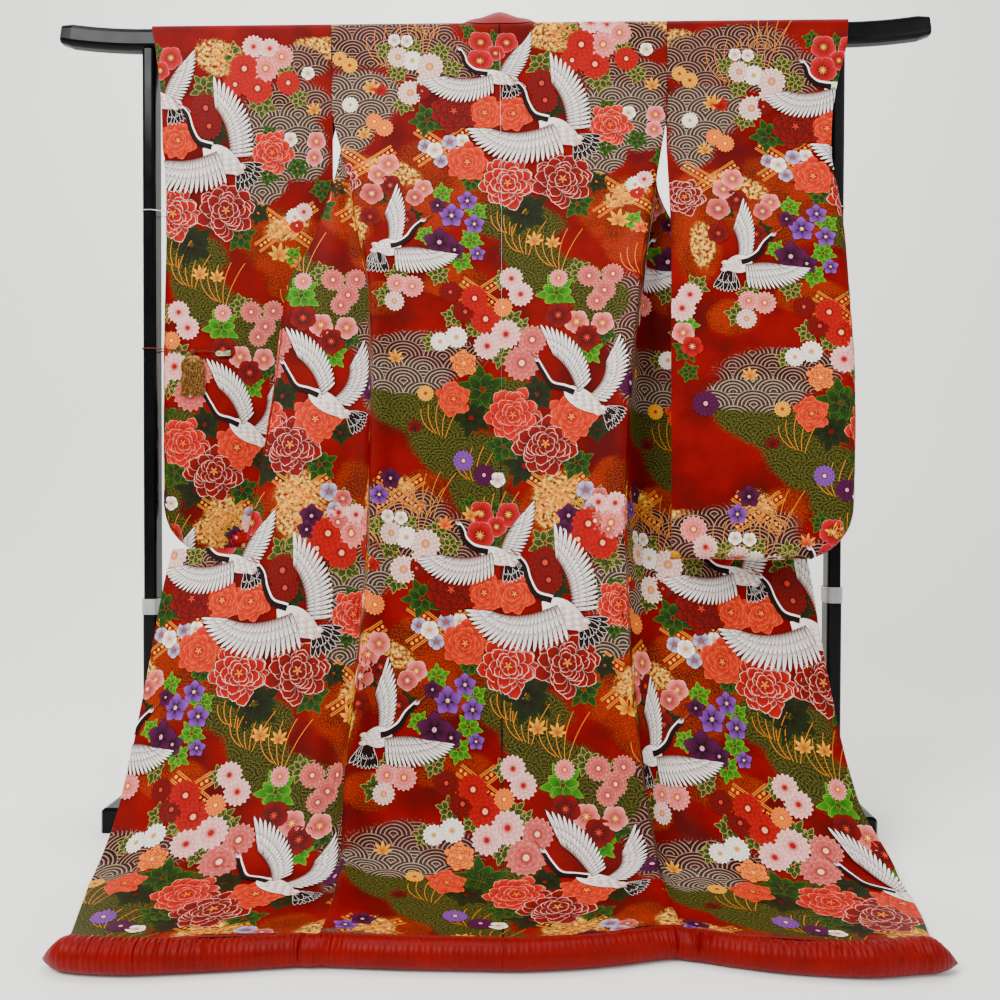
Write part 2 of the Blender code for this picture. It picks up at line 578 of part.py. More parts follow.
def back(side, name, finish):
    rows, across = [], []
    for drop in DROPS:
        row, heads = [], []
        for share in BACK_COLUMNS:
            width = level(side, drop).ridge
            curve, stops = side_row(side, drop + neck(share * width) * (1 - step_up(drop, 0.0, 0.16)))
            place = np.clip(share * stops[0], SEAM_GAP / 2, stops[0] - SEAM_GAP / 2)
            row.append(along(curve, place))
            heads.append(headings(curve, place))
        rows.append(row)
        across.append(heads)
    cloth(name, rows, finish, across)


def over_the_back(point):
    """The same place on the far side of the bar."""
    x, y, z = point
    return (x, -y, z)


def front(side, name, finish):
    """The front: behind the bar down to the side seam's top, then out from the side seam to its fold, and
    above the okumi turned back there."""
    rows, across = [], []
    shown, turned = len(FRONT_COLUMNS), len(TURN_PLACES) + len(TURN_SHARES)
    for drop in DROPS:
        if drop < SIDE_SEAM_TOP:
            curve, fold_at = upper_front_row(side, drop)
            lapel = curve
            start, end = SEAM_GAP / 2, fold_at
        else:
            curve, stops = side_row(side, drop)
            lapel, fold_at = turned_row(side, drop), 0.0
            start, end = stops[0] + SEAM_GAP, stops[1] - (SEAM_GAP / 2 if drop >= OKUMI_TOP else 0.0)
        places = start + np.array(FRONT_COLUMNS) * (end - start)
        rest = length(lapel) - fold_at - TURN_PLACES[-1]
        turns = fold_at + np.concatenate([TURN_PLACES, TURN_PLACES[-1] + rest * np.array(TURN_SHARES)])
        rows.append(np.vstack([along(curve, places), along(lapel, turns)]))
        across.append(np.vstack([headings(curve, places), headings(lapel, turns)]))
    kept = np.ones((len(rows) - 1, shown + turned - 1), bool)
    kept[DROPS.index(OKUMI_TOP) - 1 :, shown - 1 :] = False
    cloth(name, rows, finish, across, kept=kept)


def upper_front_row(side, drop):
    """Above the side seam the front hangs behind the bar, from the sleeve seam in to the neck. Lower down
    its side edge comes forward under the bar to the back's, and the lapel's fold grows out beside it."""
    top = level(side, min(drop, SLEEVE_SEAM_DROP))
    (y, z), n = hang(drop)
    aside = (top.ridge, 0.5 * (top.ridge + top.valley), top.valley, top.fold, top.fold - 0.020,
             0.5 * (top.fold + top.free), top.free)
    if drop < 0.06:
        curve = smooth([over_the_back(placed(side, drop, a, 0.0)) for a in aside], 8)
        return curve, length(curve[: 2 * 8 + 1])
    outs = [2 * y, 0.5 * (2 * y + top.valley_out), top.valley_out, top.fold_out, top.fold_out,
            0.5 * (top.fold_out + top.free_out), top.free_out]
    hung = np.array(list(zip(aside, outs)))
    low = level(side, SIDE_SEAM_TOP)
    out, turn = low.fold_out, LAPEL_TURN
    lapelled = np.array([
        (low.ridge, low.ridge_out - 0.012), (0.5 * (low.ridge + low.fold), out + 0.001), (low.fold, out),
        (low.fold + 0.003, out - turn), (low.fold - 0.010, out - 2 * turn),
        (0.5 * (low.fold + low.free), 0.45 * (out - 2 * turn) + 0.55 * low.free_out),
        (low.free, low.free_out),
    ])
    share = (max(drop, SLEEVE_SEAM_DROP) - SLEEVE_SEAM_DROP) / (SIDE_SEAM_TOP - SLEEVE_SEAM_DROP)
    sooner = np.array([1 - (1 - share) ** 2.2, 1 - (1 - share) ** 1.4] + [share**1.3] * 4 + [share])
    points = np.stack([(1 - share) * hung[:, 0] + share * lapelled[:, 0],
                       (1 - sooner) * hung[:, 1] + sooner * lapelled[:, 1]], axis=1)
    curve = smooth([placed(side, drop, a, o) for a, o in points], 8)
    return curve, length(curve[: 2 * 8 + 1])


def okumi(side, name, finish):
    rows, across = [], []
    for drop in DROPS[DROPS.index(OKUMI_TOP) :]:
        curve, stops = side_row(side, drop)
        start, end = stops[1] + SEAM_GAP / 2, stops[2]
        places = start + np.array(OKUMI_COLUMNS) * (end - start)
        rows.append(along(curve, places))
        across.append(headings(curve, places))
    cloth(name, rows, finish, across)


# ---------------------------------------------------------------- sleeves, collar, hem roll and ties


def sleeve_point(side, drop, gap_to_edge, share, far):
    """A sleeve's middle-of-wall point. share runs from the inner edge to the outer; gap_to_edge, where it
    isn't None, is the distance in from the outer edge instead. far is -1 before the bar, 1 behind it."""
    rows, full = SLEEVES[side], SLEEVE_LENGTH[side]
    read = lambda column: float(eased([(r.drop, getattr(r, column)) for r in rows], drop))
    inner, outer = read("inner"), read("outer")
    if drop <= SLEEVE_SEAM_DROP:
        inner = level(side, drop).ridge + 3 * SEAM_GAP
    elif far > 0:
        inner += REAR_INSET * step_up(drop, SLEEVE_SEAM_DROP, 0.230)
    corner = drop - (full - CORNER_RADIUS)
    if corner > 0:
        outer -= CORNER_RADIUS - math.sqrt(max(CORNER_RADIUS**2 - corner**2, 0.0))
    out = inner + share * (outer - EDGE_ROUND * 1.6 - inner) if gap_to_edge is None else outer - gap_to_edge
    to_bottom = full - drop
    to_side = outer - out
    if corner > 0:
        middle_out = read("outer") - CORNER_RADIUS
        if out > middle_out:
            to_side = CORNER_RADIUS - math.hypot(out - middle_out, corner)
    near = max(min(to_bottom, to_side), 0.0)
    closing = math.sqrt(max(1 - (1 - min(near / EDGE_ROUND, 1.0)) ** 2, 0.0))
    sewn = step_up(drop, CUFF_OPEN_TO, CUFF_OPEN_TO + 0.05)
    if near == to_bottom:
        sewn = 1.0
    where = (out - inner) / (read("outer") - inner)
    half = read("half") * (1 - where) + read("cuff_half") * where
    half = max(half * (1 - sewn + sewn * closing), EDGE_MEETING)
    (y, z), _ = hang(min(drop, SLEEVE_SEAM_DROP))
    if drop > 0.06:
        forward = read("middle")
        z = z - max(drop - SLEEVE_SEAM_DROP, 0.0) + 0.45 * forward**2 / max(drop, 0.2)
        y = -read("middle") + far * half
    else:
        spread = 1 + (half / 0.0225 - 1) * step_up(drop, 0.028, 0.06)
        y = -far * y * spread if far > 0 else y * spread
    return (side * out + float(eased(CENTRE_X, min(drop, 0.45))), y, z)


SLEEVE_DROPS = (
    0.0035, 0.007, 0.012, 0.017, 0.022, 0.028, 0.060, 0.110, SLEEVE_SEAM_DROP, 0.230, 0.300, 0.380, 0.480,
    0.600, 0.720, 0.840,
)
SLEEVE_SHARES = (0.0, 0.25, 0.5, 0.75, 1.0)
EDGE_PLACES = (0.018, 0.007, 0.002, 0.0)


def sleeve(side, name, finish):
    """One length of cloth that goes over the bar, with its two layers sewn together at the outer edge below
    the cuff and along the bottom, and open at the inner edge."""
    full = SLEEVE_LENGTH[side]
    low = [full - d for d in (0.090, 0.045, *EDGE_PLACES)]
    drops = list(SLEEVE_DROPS) + low
    order = [(d, -1) for d in reversed(drops)] + [(0.0, -1)] + [(d, 1) for d in drops]
    rows = []
    for drop, far in order:
        row = [sleeve_point(side, drop, None, share, far) for share in SLEEVE_SHARES]
        row += [sleeve_point(side, drop, gap, None, far) for gap in EDGE_PLACES]
        rows.append(row)
    cloth(name, rows, finish)


def clear_of_bar(point, clear):
    """The point moved away from the bar, in its cross section, where it is nearer than this."""
    x, y, z = point
    off_y = max(abs(y) - (BAR_DEPTH / 2 - BAR_ROUND), 0.0) * (1 if y >= 0 else -1)
    middle = BAR_TOP - BAR_HEIGHT / 2
    off_z = max(abs(z - middle) - (BAR_HEIGHT / 2 - BAR_ROUND), 0.0) * (1 if z >= middle else -1)
    away = math.hypot(off_y, off_z)
    if 0 < away < BAR_ROUND + clear:
        grow = (BAR_ROUND + clear) / away - 1
        y, z = y + off_y * grow, z + off_z * grow
    return np.array([x, y, z])


def collar_strip(side, seam, fan):
    x0 = CENTRE_X[0][1]
    crown = (side * fan.crown_x + x0, fan.crown_y, fan.crown_z)
    edge = (side * fan.edge_x + x0, fan.edge_y, fan.edge_z)
    low = 0.5 * (np.array(crown) + edge) + np.array([0.0, 0.003, 0.0])
    route = smooth([seam, crown, low, edge], 8)
    route[1:] = [clear_of_bar(p, COLLAR_CLEAR * min(k / 6, 1) + (1 - min(k / 6, 1)) * 0.003)
                 for k, p in enumerate(route[1:])]
    return along(route, np.linspace(0, length(route), COLLAR_COLUMNS))


def collar(name, finish):
    """The collar's rows, from the left front's lower end round the neck to the right front's, each from the
    neck or front edge it is sewn to, out to its own free edge."""
    sides = {}
    lift = (COLLAR_WALL - WALL) / 2 + 0.0003
    for side in (-1, 1):
        strips = []
        for share, fan in zip(BACK_COLUMNS, NECK_FAN):
            drop = neck(share * level(side, 0.0).ridge) - 0.0018
            curve, stops = side_row(side, max(drop, 0.0))
            (_, _), n = hang(max(drop, 0.0))
            seam = along(curve, share * stops[0]) + lift * np.array([0.0, n[0], n[1]])
            strips.append(collar_strip(side, seam, fan))
        for drop, fan in zip(DROPS[1:], FRONT_FAN):
            curve, _ = upper_front_row(side, drop)
            (_, _), n = hang(drop)
            out = -n[0] if drop < 0.06 else 0.0
            seam = curve[-1] + np.array([-side * SEAM_GAP * 4, lift * out, lift * n[1]])
            strips.append(collar_strip(side, seam, fan))
        for drop in [d for d in DROPS if 0.1 < d < OKUMI_TOP - 0.005]:
            curve = upper_front_row(side, drop)[0] if drop < SIDE_SEAM_TOP else turned_row(side, drop)
            run = length(curve)
            end, heading = along(curve, run), headings(curve, run - 0.002)
            lag = 0.042 * (1 - step_up(drop, 0.08, 0.30))
            shares = np.linspace(0, 1, COLLAR_COLUMNS)
            strips.append([end + heading * (SEAM_GAP * 2 + COLLAR_WIDTH * k) - np.array([0, 0, lag * k])
                           for k in shares])
        sides[side] = strips
    cloth(name, list(reversed(sides[-1])) + sides[1][1:], finish, wall=COLLAR_WALL)


FUKI_PLACES = {"back": (0.0, 0.16, 0.28, 0.42, 0.55, 0.70, 0.82, 0.90, 0.95, 1.0),
               "front": FRONT_COLUMNS, "okumi": (*OKUMI_COLUMNS[:-1], 0.88, 1.0)}


def fuki(side, piece, name, finish):
    """One panel's length of the padded hem roll. It goes along the panel's own hem, and the okumi's is
    rounded off at the garment's edge."""
    curve, stops = side_row(side, HEM_DROP)
    order = ("back", "front", "okumi").index(piece)
    start, end = (0.0, *stops)[order], stops[order]
    places = start + np.array(FUKI_PLACES[piece]) * (end - start)
    beyond = np.zeros(len(places))
    if piece == "okumi":
        places = np.append(places, [end] * len(FUKI_BEYOND))
        beyond = np.append(beyond, FUKI_BEYOND)
    heads = headings(curve, places)
    heads[:, 2] = 0.0
    heads /= np.linalg.norm(heads, axis=1, keepdims=True)
    points = along(curve, places) + heads * beyond[:, None]
    points[0] += heads[0] * SEAM_GAP / 2
    if piece != "okumi":
        points[-1] -= heads[-1] * SEAM_GAP / 2
    across = np.abs(points[:, 0] - float(eased(CENTRE_X, HEM_DROP)))
    fuller = FUKI_FULLER * np.array([step_up(x, *FUKI_FULLER_FROM) for x in across])
    to_tip = stops[-1] + FUKI_BEYOND[-1] + 0.0005 - places - beyond
    taper = 1 - (1 - np.clip(to_tip / FUKI_POINT, 0.0, 1.0)) ** FUKI_POWER
    scale = (1 + fuller) * taper
    forward = np.stack([side * heads[:, 1], -side * heads[:, 0], 0 * heads[:, 0]], axis=1)
    middles = points + forward * (FUKI_AHEAD + FUKI_FULLER_AHEAD * FUKI_RADIUS * fuller)[:, None]
    lift = (1 + fuller) * (taper + FUKI_TIP_RISE * (1 - taper))
    middles[:, 2] = FUKI_RADIUS * math.cos(math.pi / FUKI_SIDES) * lift

    def outline(k):
        turn = 2 * math.pi / FUKI_SIDES
        r = FUKI_RADIUS * scale[k]
        return [(r * math.cos(turn * (i + 0.5)), r * math.sin(turn * (i + 0.5))) for i in range(FUKI_SIDES)]

    tube(name, middles, outline, finish, heads)


def string(name, points, radius, steps, finish):
    """A thin twisted cord through the points, as a filled curve."""
    curve = bpy.data.curves.new(name, "CURVE")
    curve.dimensions = "3D"
    curve.bevel_depth = radius
    curve.bevel_resolution = 0
    curve.use_fill_caps = True
    route = smooth(points, steps)
    line = curve.splines.new("POLY")
    line.points.add(len(route) - 1)
    for point, place in zip(line.points, route):
        point.co = (*place, 1.0)
    curve.materials.append(finish)
    made = bpy.data.objects.new(name, curve)
    bpy.context.scene.collection.objects.link(made)
    made.parent = whole


def round_post(side, radius, z, start, end, inside=False):
    """Route of a tie that goes round the upper post from start to end, both points (x, y, z), and with
    inside forward again along the post's inner face."""
    x0 = POST_OUTER - POST_WIDTH + INNER_POST_TRIM - radius - SEAM_GAP
    x1 = POST_OUTER - INNER_POST_TRIM + radius + SEAM_GAP
    y = POST_DEPTH / 2 - INNER_POST_TRIM + radius + 3 * SEAM_GAP
    corner = 0.005
    ring = [(side * (x0 + corner), -y, z), (side * (x1 - corner), -y, z), (side * x1, -y + corner, z),
            (side * x1, y - corner, z), (side * (x1 - corner), y, z), (side * (x0 + corner), y, z)]
    if inside:
        ring = [(side * (x0 + 0.001), -y - 0.0008, z), *ring,
                (side * x0, y - corner, z - 0.002), (side * x0, -y + corner, z - 0.003)]
    return [start, *ring, end]


def ties():
    thread = material("white_thread", (0.70, 0.68, 0.63), 0.6)
    cord = material("cord_russet", (0.28, 0.07, 0.05), 0.6)
    for side, word in ((-1, "left"), (1, "right")):
        drop = 1.5 - THREAD_Z + 0.012
        clear = WALL / 2 + THREAD_RADIUS + 0.0012
        start, end = (
            np.array(sleeve_point(side, drop, 0.014, None, far)) + np.array([0.0, far * clear, 0.0])
            for far in (-1, 1)
        )
        if side > 0:
            start, end = (0.6495, -0.046, THREAD_Z), (0.6450, -0.0275, THREAD_Z)
        route = round_post(side, THREAD_RADIUS, THREAD_Z + 0.008, tuple(start), tuple(end), inside=side > 0)
        string(f"thread_tie_{word}", route, THREAD_RADIUS, 4, thread)
    clear = WALL / 2 + CORD_RADIUS + 0.0012
    layer = {far: sleeve_point(-1, 1.5 - CORD_Z, None, 0.75, far)[1] + far * clear for far in (-1, 1)}
    front_y = layer[-1] - 0.0018
    start = (KNOT_X - KNOT_RADIUS - SEAM_GAP, front_y, CORD_Z)
    route = round_post(-1, CORD_RADIUS, CORD_Z + 0.006, start, (-0.585, layer[1], CORD_Z))
    route.insert(-1, (-0.622, layer[1] + 0.0006, CORD_Z + 0.003))
    string("tie_cord_left", route, CORD_RADIUS, 4, cord)
    string("tie_cord_end", [(KNOT_X + KNOT_RADIUS + SEAM_GAP, front_y, CORD_Z),
                            (KNOT_X + 0.025, front_y, CORD_Z + 0.001),
                            (KNOT_X + 0.045 - SEAM_GAP, front_y, CORD_Z - 0.0015)], CORD_RADIUS, 4, cord)
    knot("tie_knot", (KNOT_X, front_y, CORD_Z), cord)
    for t in TASSELS:
        tassel(t, front_y, material(t.name, t.colour, 0.55))


def knot(name, place, finish):
    """The knot's lump, a squat ball of eight sides."""
    rings = []
    for tilt in (-60, -25, 15, 55):
        a = math.radians(tilt)
        r, h = KNOT_RADIUS * math.cos(a), 0.9 * KNOT_RADIUS * math.sin(a)
        rings.append([(place[0] + r * math.cos(b), place[1] + 0.62 * r * math.sin(b), place[2] + h)
                      for b in np.linspace(0, 2 * math.pi, 8, endpoint=False)])
    vertices = [v for ring in rings for v in ring]
    faces = [[k * 8 + i, k * 8 + (i + 1) % 8, (k + 1) * 8 + (i + 1) % 8, (k + 1) * 8 + i]
             for k in range(3) for i in range(8)]
    faces += [list(reversed(range(8))), [24 + i for i in range(8)]]
    solid(name, vertices, faces, finish)


def tassel(t, y, finish):
    """A flat head with square strands drawn out of its lower side, each from its own patch, so that they
    stand apart but share the head. The tassel lies along (along_x, along_z)."""
    shape = bmesh.new()
    nx, ny = t.strands_across, t.strands_deep
    heading = np.array([t.along_x, 0.0, t.along_z])
    heading /= np.linalg.norm(heading)
    across = np.cross(heading, (0.0, 1.0, 0.0))
    origin = np.array([t.x, y, t.z])

    def at(u, v, depth):
        return tuple(origin + across * u + np.array([0.0, v, 0.0]) + heading * depth)

    def patch(i, j, depth, taper):
        return at((i / nx - 0.5) * t.width * taper, (j / ny - 0.5) * t.deep * taper, depth)

    low = [[shape.verts.new(patch(i, j, t.head, 1.0)) for j in range(ny + 1)] for i in range(nx + 1)]
    border = [(i, 0) for i in range(nx)] + [(nx, j) for j in range(ny)]
    border += [(i, ny) for i in range(nx, 0, -1)] + [(0, j) for j in range(ny, 0, -1)]
    high = [shape.verts.new(patch(i, j, 0.0, 0.22)) for i, j in border]
    ring = [low[i][j] for i, j in border]
    for k in range(len(border)):
        n = (k + 1) % len(border)
        shape.faces.new([ring[k], ring[n], high[n], high[k]])
    shape.faces.new(list(reversed(high)))
    roots = []
    for i in range(nx):
        for j in range(ny):
            face = shape.faces.new([low[i][j], low[i][j + 1], low[i + 1][j + 1], low[i + 1][j]])
            if (i + j) % 2 == 0:
                roots.append((i, j, face))
    bmesh.ops.inset_individual(shape, faces=[f for _, _, f in roots], thickness=0.0002)
    for i, j, face in roots:
        sway = TASSEL_SWAY * math.sin(2.4 * i + 1.7 * j)
        reach = t.reach * (1 - 0.07 * abs(math.sin(1.9 * i + 0.8 * j)))
        grown = face
        for share, drift in ((0.5, 0.6), (0.5, 1.0)):
            made = bmesh.ops.extrude_discrete_faces(shape, faces=[grown])
            grown = made["faces"][0]
            out = (i / (nx - 1) - 0.5) * TASSEL_SPREAD * reach
            step = heading * reach * share + across * (out * share + sway * drift)
            bmesh.ops.translate(shape, verts=grown.verts, vec=tuple(step))
    bmesh.ops.recalc_face_normals(shape, faces=shape.faces)
    mesh = bpy.data.meshes.new(t.name)
    shape.to_mesh(mesh)
    shape.free()
    mesh.materials.append(finish)
    made = bpy.data.objects.new(t.name, mesh)
    bpy.context.scene.collection.objects.link(made)
    made.parent = whole


# ---------------------------------------------------------------- build

for old in list(bpy.data.objects):
    bpy.data.objects.remove(old)
whole = bpy.data.objects.new("uchikake_on_stand", None)
bpy.context.scene.collection.objects.link(whole)

stand()
brocade = material("brocade", (0.55, 0.035, 0.02), 0.5)
for side, word in ((-1, "left"), (1, "right")):
    back(side, f"back_{word}", brocade)
    front(side, f"front_{word}", brocade)
    okumi(side, f"okumi_{word}", brocade)
    sleeve(side, f"sleeve_{word}", brocade)
collar("collar", brocade)
red_satin = material("red_satin", (0.50, 0.0, 0.008), 0.35)
for side, word in ((-1, "left"), (1, "right")):
    for piece in FUKI_PLACES:
        fuki(side, piece, f"fuki_{piece}_{word}", red_satin)
ties()

corners = np.array([v.co for o in bpy.data.objects if o.type == "MESH" for v in o.data.vertices])
low, high = corners.min(axis=0), corners.max(axis=0)
whole.location = (-(low[0] + high[0]) / 2, -(low[1] + high[1]) / 2, -low[2])
bpy.context.view_layer.update()
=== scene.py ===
import math
from collections import namedtuple
from functools import lru_cache

import bmesh
import bpy
import numpy as np
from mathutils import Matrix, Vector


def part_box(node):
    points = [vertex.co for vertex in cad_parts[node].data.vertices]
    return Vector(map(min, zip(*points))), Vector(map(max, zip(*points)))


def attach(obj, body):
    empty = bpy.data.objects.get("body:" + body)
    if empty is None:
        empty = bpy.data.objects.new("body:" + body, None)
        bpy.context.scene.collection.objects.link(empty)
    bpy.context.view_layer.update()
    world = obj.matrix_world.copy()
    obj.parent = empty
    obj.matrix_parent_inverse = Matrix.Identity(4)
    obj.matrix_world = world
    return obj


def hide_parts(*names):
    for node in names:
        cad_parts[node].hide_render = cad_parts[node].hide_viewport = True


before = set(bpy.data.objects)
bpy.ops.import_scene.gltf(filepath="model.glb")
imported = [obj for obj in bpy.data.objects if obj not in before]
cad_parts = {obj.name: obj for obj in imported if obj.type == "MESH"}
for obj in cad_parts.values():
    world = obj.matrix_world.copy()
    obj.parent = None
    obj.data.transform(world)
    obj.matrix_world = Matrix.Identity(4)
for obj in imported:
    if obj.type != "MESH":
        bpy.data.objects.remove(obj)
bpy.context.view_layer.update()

# ---------------------------------------------------------------- where the stand is, and the camera
# The stand's feet are centred under the bar, and its bar is the line that everything hangs from. The camera
# stands before the garment's back, a little to the right of its middle, at the height of the waist.

foot_low, foot_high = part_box("foot_left")
BAR_Y = (foot_low[1] + foot_high[1]) / 2
CAMERA = (0.0691, BAR_Y - 1.8271, 0.6205)
CAMERA_DOWN = 0.86
CAMERA_LEFT = 1.53
CAMERA_TILT = 0.156  # its right side up
SENSOR = 36.0
FOCAL_LENGTH = 34.1

lens = bpy.data.cameras.new("camera")
lens.sensor_width = SENSOR
lens.lens = FOCAL_LENGTH
camera = bpy.data.objects.new("camera", lens)
camera.location = CAMERA
camera.rotation_euler = tuple(map(math.radians, (90 - CAMERA_DOWN, -CAMERA_TILT, CAMERA_LEFT)))
bpy.context.scene.collection.objects.link(camera)
bpy.context.scene.camera = camera

# ---------------------------------------------------------------- the stand
# Steel tube and section in gloss black stove enamel, in two telescoping lengths a side with a moulded grey
# clamp band at the joint, on floor bars with a stretcher between them.

ENAMEL_DEEP = (0.0012, 0.0013, 0.0016)
ENAMEL_WORN = (0.0025, 0.0027, 0.0033)


def srgb(red, green, blue):
    """A colour named by its screen values, 0 to 255, as the shader's linear one."""
    return tuple(c / 12.92 if c <= 0.04045 else ((c + 0.055) / 1.055) ** 2.4
                 for c in (red / 255, green / 255, blue / 255))


class Finish:
    """A material whose nodes are added by name."""

    def __init__(self, name, roughness, **sockets):
        self.material = bpy.data.materials.new(name)
        self.material.use_nodes = True
        self.tree = self.material.node_tree
        self.shader = self.tree.nodes["Principled BSDF"]
        self.shader.inputs["Roughness"].default_value = roughness
        for socket, value in sockets.items():
            self.shader.inputs[socket.replace("_", " ")].default_value = value

    def node(self, kind, settings=None, **inputs):
        """A node with its settings and its inputs, each a value or another node's output. An input is named
        by its label in lower case, or in0, in1 by its place."""
        made = self.tree.nodes.new(kind)
        for key, value in (settings or {}).items():
            setattr(made, key, value)
        for key, value in inputs.items():
            if key[:2] == "in" and key[2:].isdigit():
                socket = made.inputs[int(key[2:])]
            else:
                socket = next(s for s in made.inputs if s.name.lower().replace(" ", "_") == key)
            if isinstance(value, bpy.types.NodeSocket):
                self.tree.links.new(value, socket)
            else:
                socket.default_value = value
        return made

    def maths(self, operation, *values):
        settings = {"operation": operation}
        return self.node("ShaderNodeMath", settings, **{f"in{i}": v for i, v in enumerate(values)}).outputs[0]

    def plus(self, first, second):
        return self.maths("ADD", first, second)

    def less(self, first, second):
        return self.maths("SUBTRACT", first, second)

    def times(self, first, second):
        return self.maths("MULTIPLY", first, second)

    def ridges(self, place, apart):
        """Rounded ridges this far apart, for ribs of thread or the plies of a cord."""
        return self.maths("ABSOLUTE", self.maths("SINE", self.times(place, math.pi / apart)))

    def mix(self, share, first, second, blend="MIX"):
        made = self.node("ShaderNodeMix", {"data_type": "RGBA", "blend_type": blend})
        for place, value in ((0, share), (6, first), (7, second)):
            if isinstance(value, bpy.types.NodeSocket):
                self.tree.links.new(value, made.inputs[place])
            else:
                made.inputs[place].default_value = value if place == 0 else (*value, 1.0)
        return made.outputs[2]

    def noise(self, scale, detail=2.0, vector=None, roughness=0.5):
        inputs = {"scale": scale, "detail": detail, "roughness": roughness}
        if vector is None:
            vector = self.node("ShaderNodeTexCoord").outputs["Object"]
        return self.node("ShaderNodeTexNoise", None, vector=vector, **inputs).outputs["Fac"]

    def ramp(self, share, low, high, from_value=0.0, to_value=1.0):
        made = self.node("ShaderNodeMapRange", {"interpolation_type": "SMOOTHSTEP"}, value=share)
        for place, value in enumerate((low, high, from_value, to_value), 1):
            made.inputs[place].default_value = value
        return made.outputs[0]

    def colour(self, output):
        self.tree.links.new(output, self.shader.inputs["Base Color"])

    def roughness(self, output):
        self.tree.links.new(output, self.shader.inputs["Roughness"])

    def bump(self, height, strength, distance=0.001):
        made = self.node("ShaderNodeBump", None, strength=strength, distance=distance, height=height)
        self.tree.links.new(made.outputs[0], self.shader.inputs["Normal"])


def dress(names, finish):
    """Gives solids of the stand their finish."""
    for name in names:
        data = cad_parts[name].data
        data.materials.clear()
        data.materials.append(finish.material)


enamel = Finish("black_enamel", 0.2, Specular_IOR_Level=0.09)
enamel.colour(enamel.mix(enamel.ramp(enamel.noise(9.0, 4.0), 0.35, 0.8), ENAMEL_DEEP, ENAMEL_WORN))
enamel.roughness(enamel.ramp(enamel.noise(30.0, 5.0), 0.3, 0.8, 0.12, 0.24))
enamel.bump(enamel.noise(420.0, 2.0), 0.04)
clamp = Finish("clamp_plastic", 0.5)
clamp.colour(clamp.mix(clamp.noise(60.0), srgb(150, 150, 150), srgb(175, 175, 173)))
clamp.bump(clamp.noise(1500.0), 0.15)
dress(("bar", "foot_left", "foot_right", "post_left_lower", "post_left_upper", "post_right_lower",
       "post_right_upper", "stretcher"), enamel)
dress(("post_band_left", "post_band_right"), clamp)

# ---------------------------------------------------------------- how the garment hangs
# The body is two lengths of brocade, each going from the hem up the back, over the bar and down the front.
# Their sizes are the solids' own: the back's centre line from the bar to the hem, and the rows across it.

WALL = 0.003
SEAM_GAP = 0.0003
SEAT_GAP = 0.0004
BAR_TOP = 1.498
BAR_DEPTH = 0.034
BAR_HEIGHT = 0.041
BAR_ROUND = 0.010

CREST = BAR_TOP + SEAT_GAP + WALL / 2
TURN_OVER = BAR_ROUND + SEAT_GAP + WALL / 2 + 0.0012
TURN_Y = BAR_DEPTH / 2 - BAR_ROUND
# The back's centre line in (y, z): over the bar, round its edge, and down to the hem.
HANG = (
    (0.0, CREST), (-0.6 * TURN_Y, CREST),
    *((-TURN_Y - TURN_OVER * math.sin(a), BAR_TOP - BAR_ROUND + TURN_OVER * math.cos(a))
      for a in map(math.radians, (15, 40, 65, 90))),
    (-TURN_Y - TURN_OVER - 0.0020, 1.440), (-0.033, 1.335), (-0.062, 1.165), (-0.096, 1.000),
    (-0.139, 0.750), (-0.182, 0.500), (-0.228, 0.300), (-0.274, 0.150), (-0.318, 0.060), (-0.362, 0.018),
    (-0.425, 0.0075), (-0.530, 0.0085), (-0.585, 0.0210), (-0.6040, 0.0325),
)
# How far aside the centre seam is, by the drop.
CENTRE_X = ((0.0, 0.017), (0.45, 0.024), (1.1, 0.028), (1.45, 0.034), (1.8, 0.042))

# One row a level, going down. Distances are out from the centre seam; "out" is how far the cloth stands
# before the back's centre line, along its normal, so behind the bar it is below zero.
Level = namedtuple(
    "Level", "drop ridge ridge_out valley valley_out fold fold_out edge edge_out free free_out"
)
LEFT_LEVELS = (
    Level(0.060, 0.320, 0.000, 0.300, -0.041, 0.270, -0.041, 0.270, -0.041, 0.098, -0.042),
    Level(0.170, 0.319, 0.000, 0.296, -0.052, 0.262, -0.056, 0.262, -0.056, 0.100, -0.060),
    Level(0.338, 0.280, 0.010, 0.286, -0.012, 0.318, -0.012, 0.318, -0.030, 0.125, -0.090),
    Level(0.445, 0.258, 0.022, 0.265, -0.008, 0.348, -0.006, 0.348, -0.020, 0.165, -0.085),
    Level(0.520, 0.239, 0.030, 0.250, -0.006, 0.386, -0.006, 0.386, -0.020, 0.200, -0.078),
    Level(0.760, 0.226, 0.040, 0.242, -0.006, 0.412, -0.010, 0.412, -0.024, 0.250, -0.060),
    Level(1.010, 0.226, 0.044, 0.244, -0.008, 0.450, -0.014, 0.591, -0.040, 0.400, -0.046),
    Level(1.220, 0.236, 0.044, 0.256, -0.006, 0.500, -0.012, 0.620, -0.040, 0.480, -0.040),
    Level(1.420, 0.253, 0.042, 0.276, 0.002, 0.495, 0.000, 0.636, -0.024, 0.480, -0.030),
    Level(1.530, 0.251, 0.030, 0.276, 0.002, 0.493, 0.004, 0.641, -0.006, 0.480, -0.006),
    Level(1.650, 0.246, 0.018, 0.272, 0.004, 0.472, 0.003, 0.613, 0.002, 0.460, 0.000),
    Level(1.800, 0.243, 0.000, 0.270, 0.000, 0.462, 0.000, 0.564, 0.000, 0.460, 0.000),
)
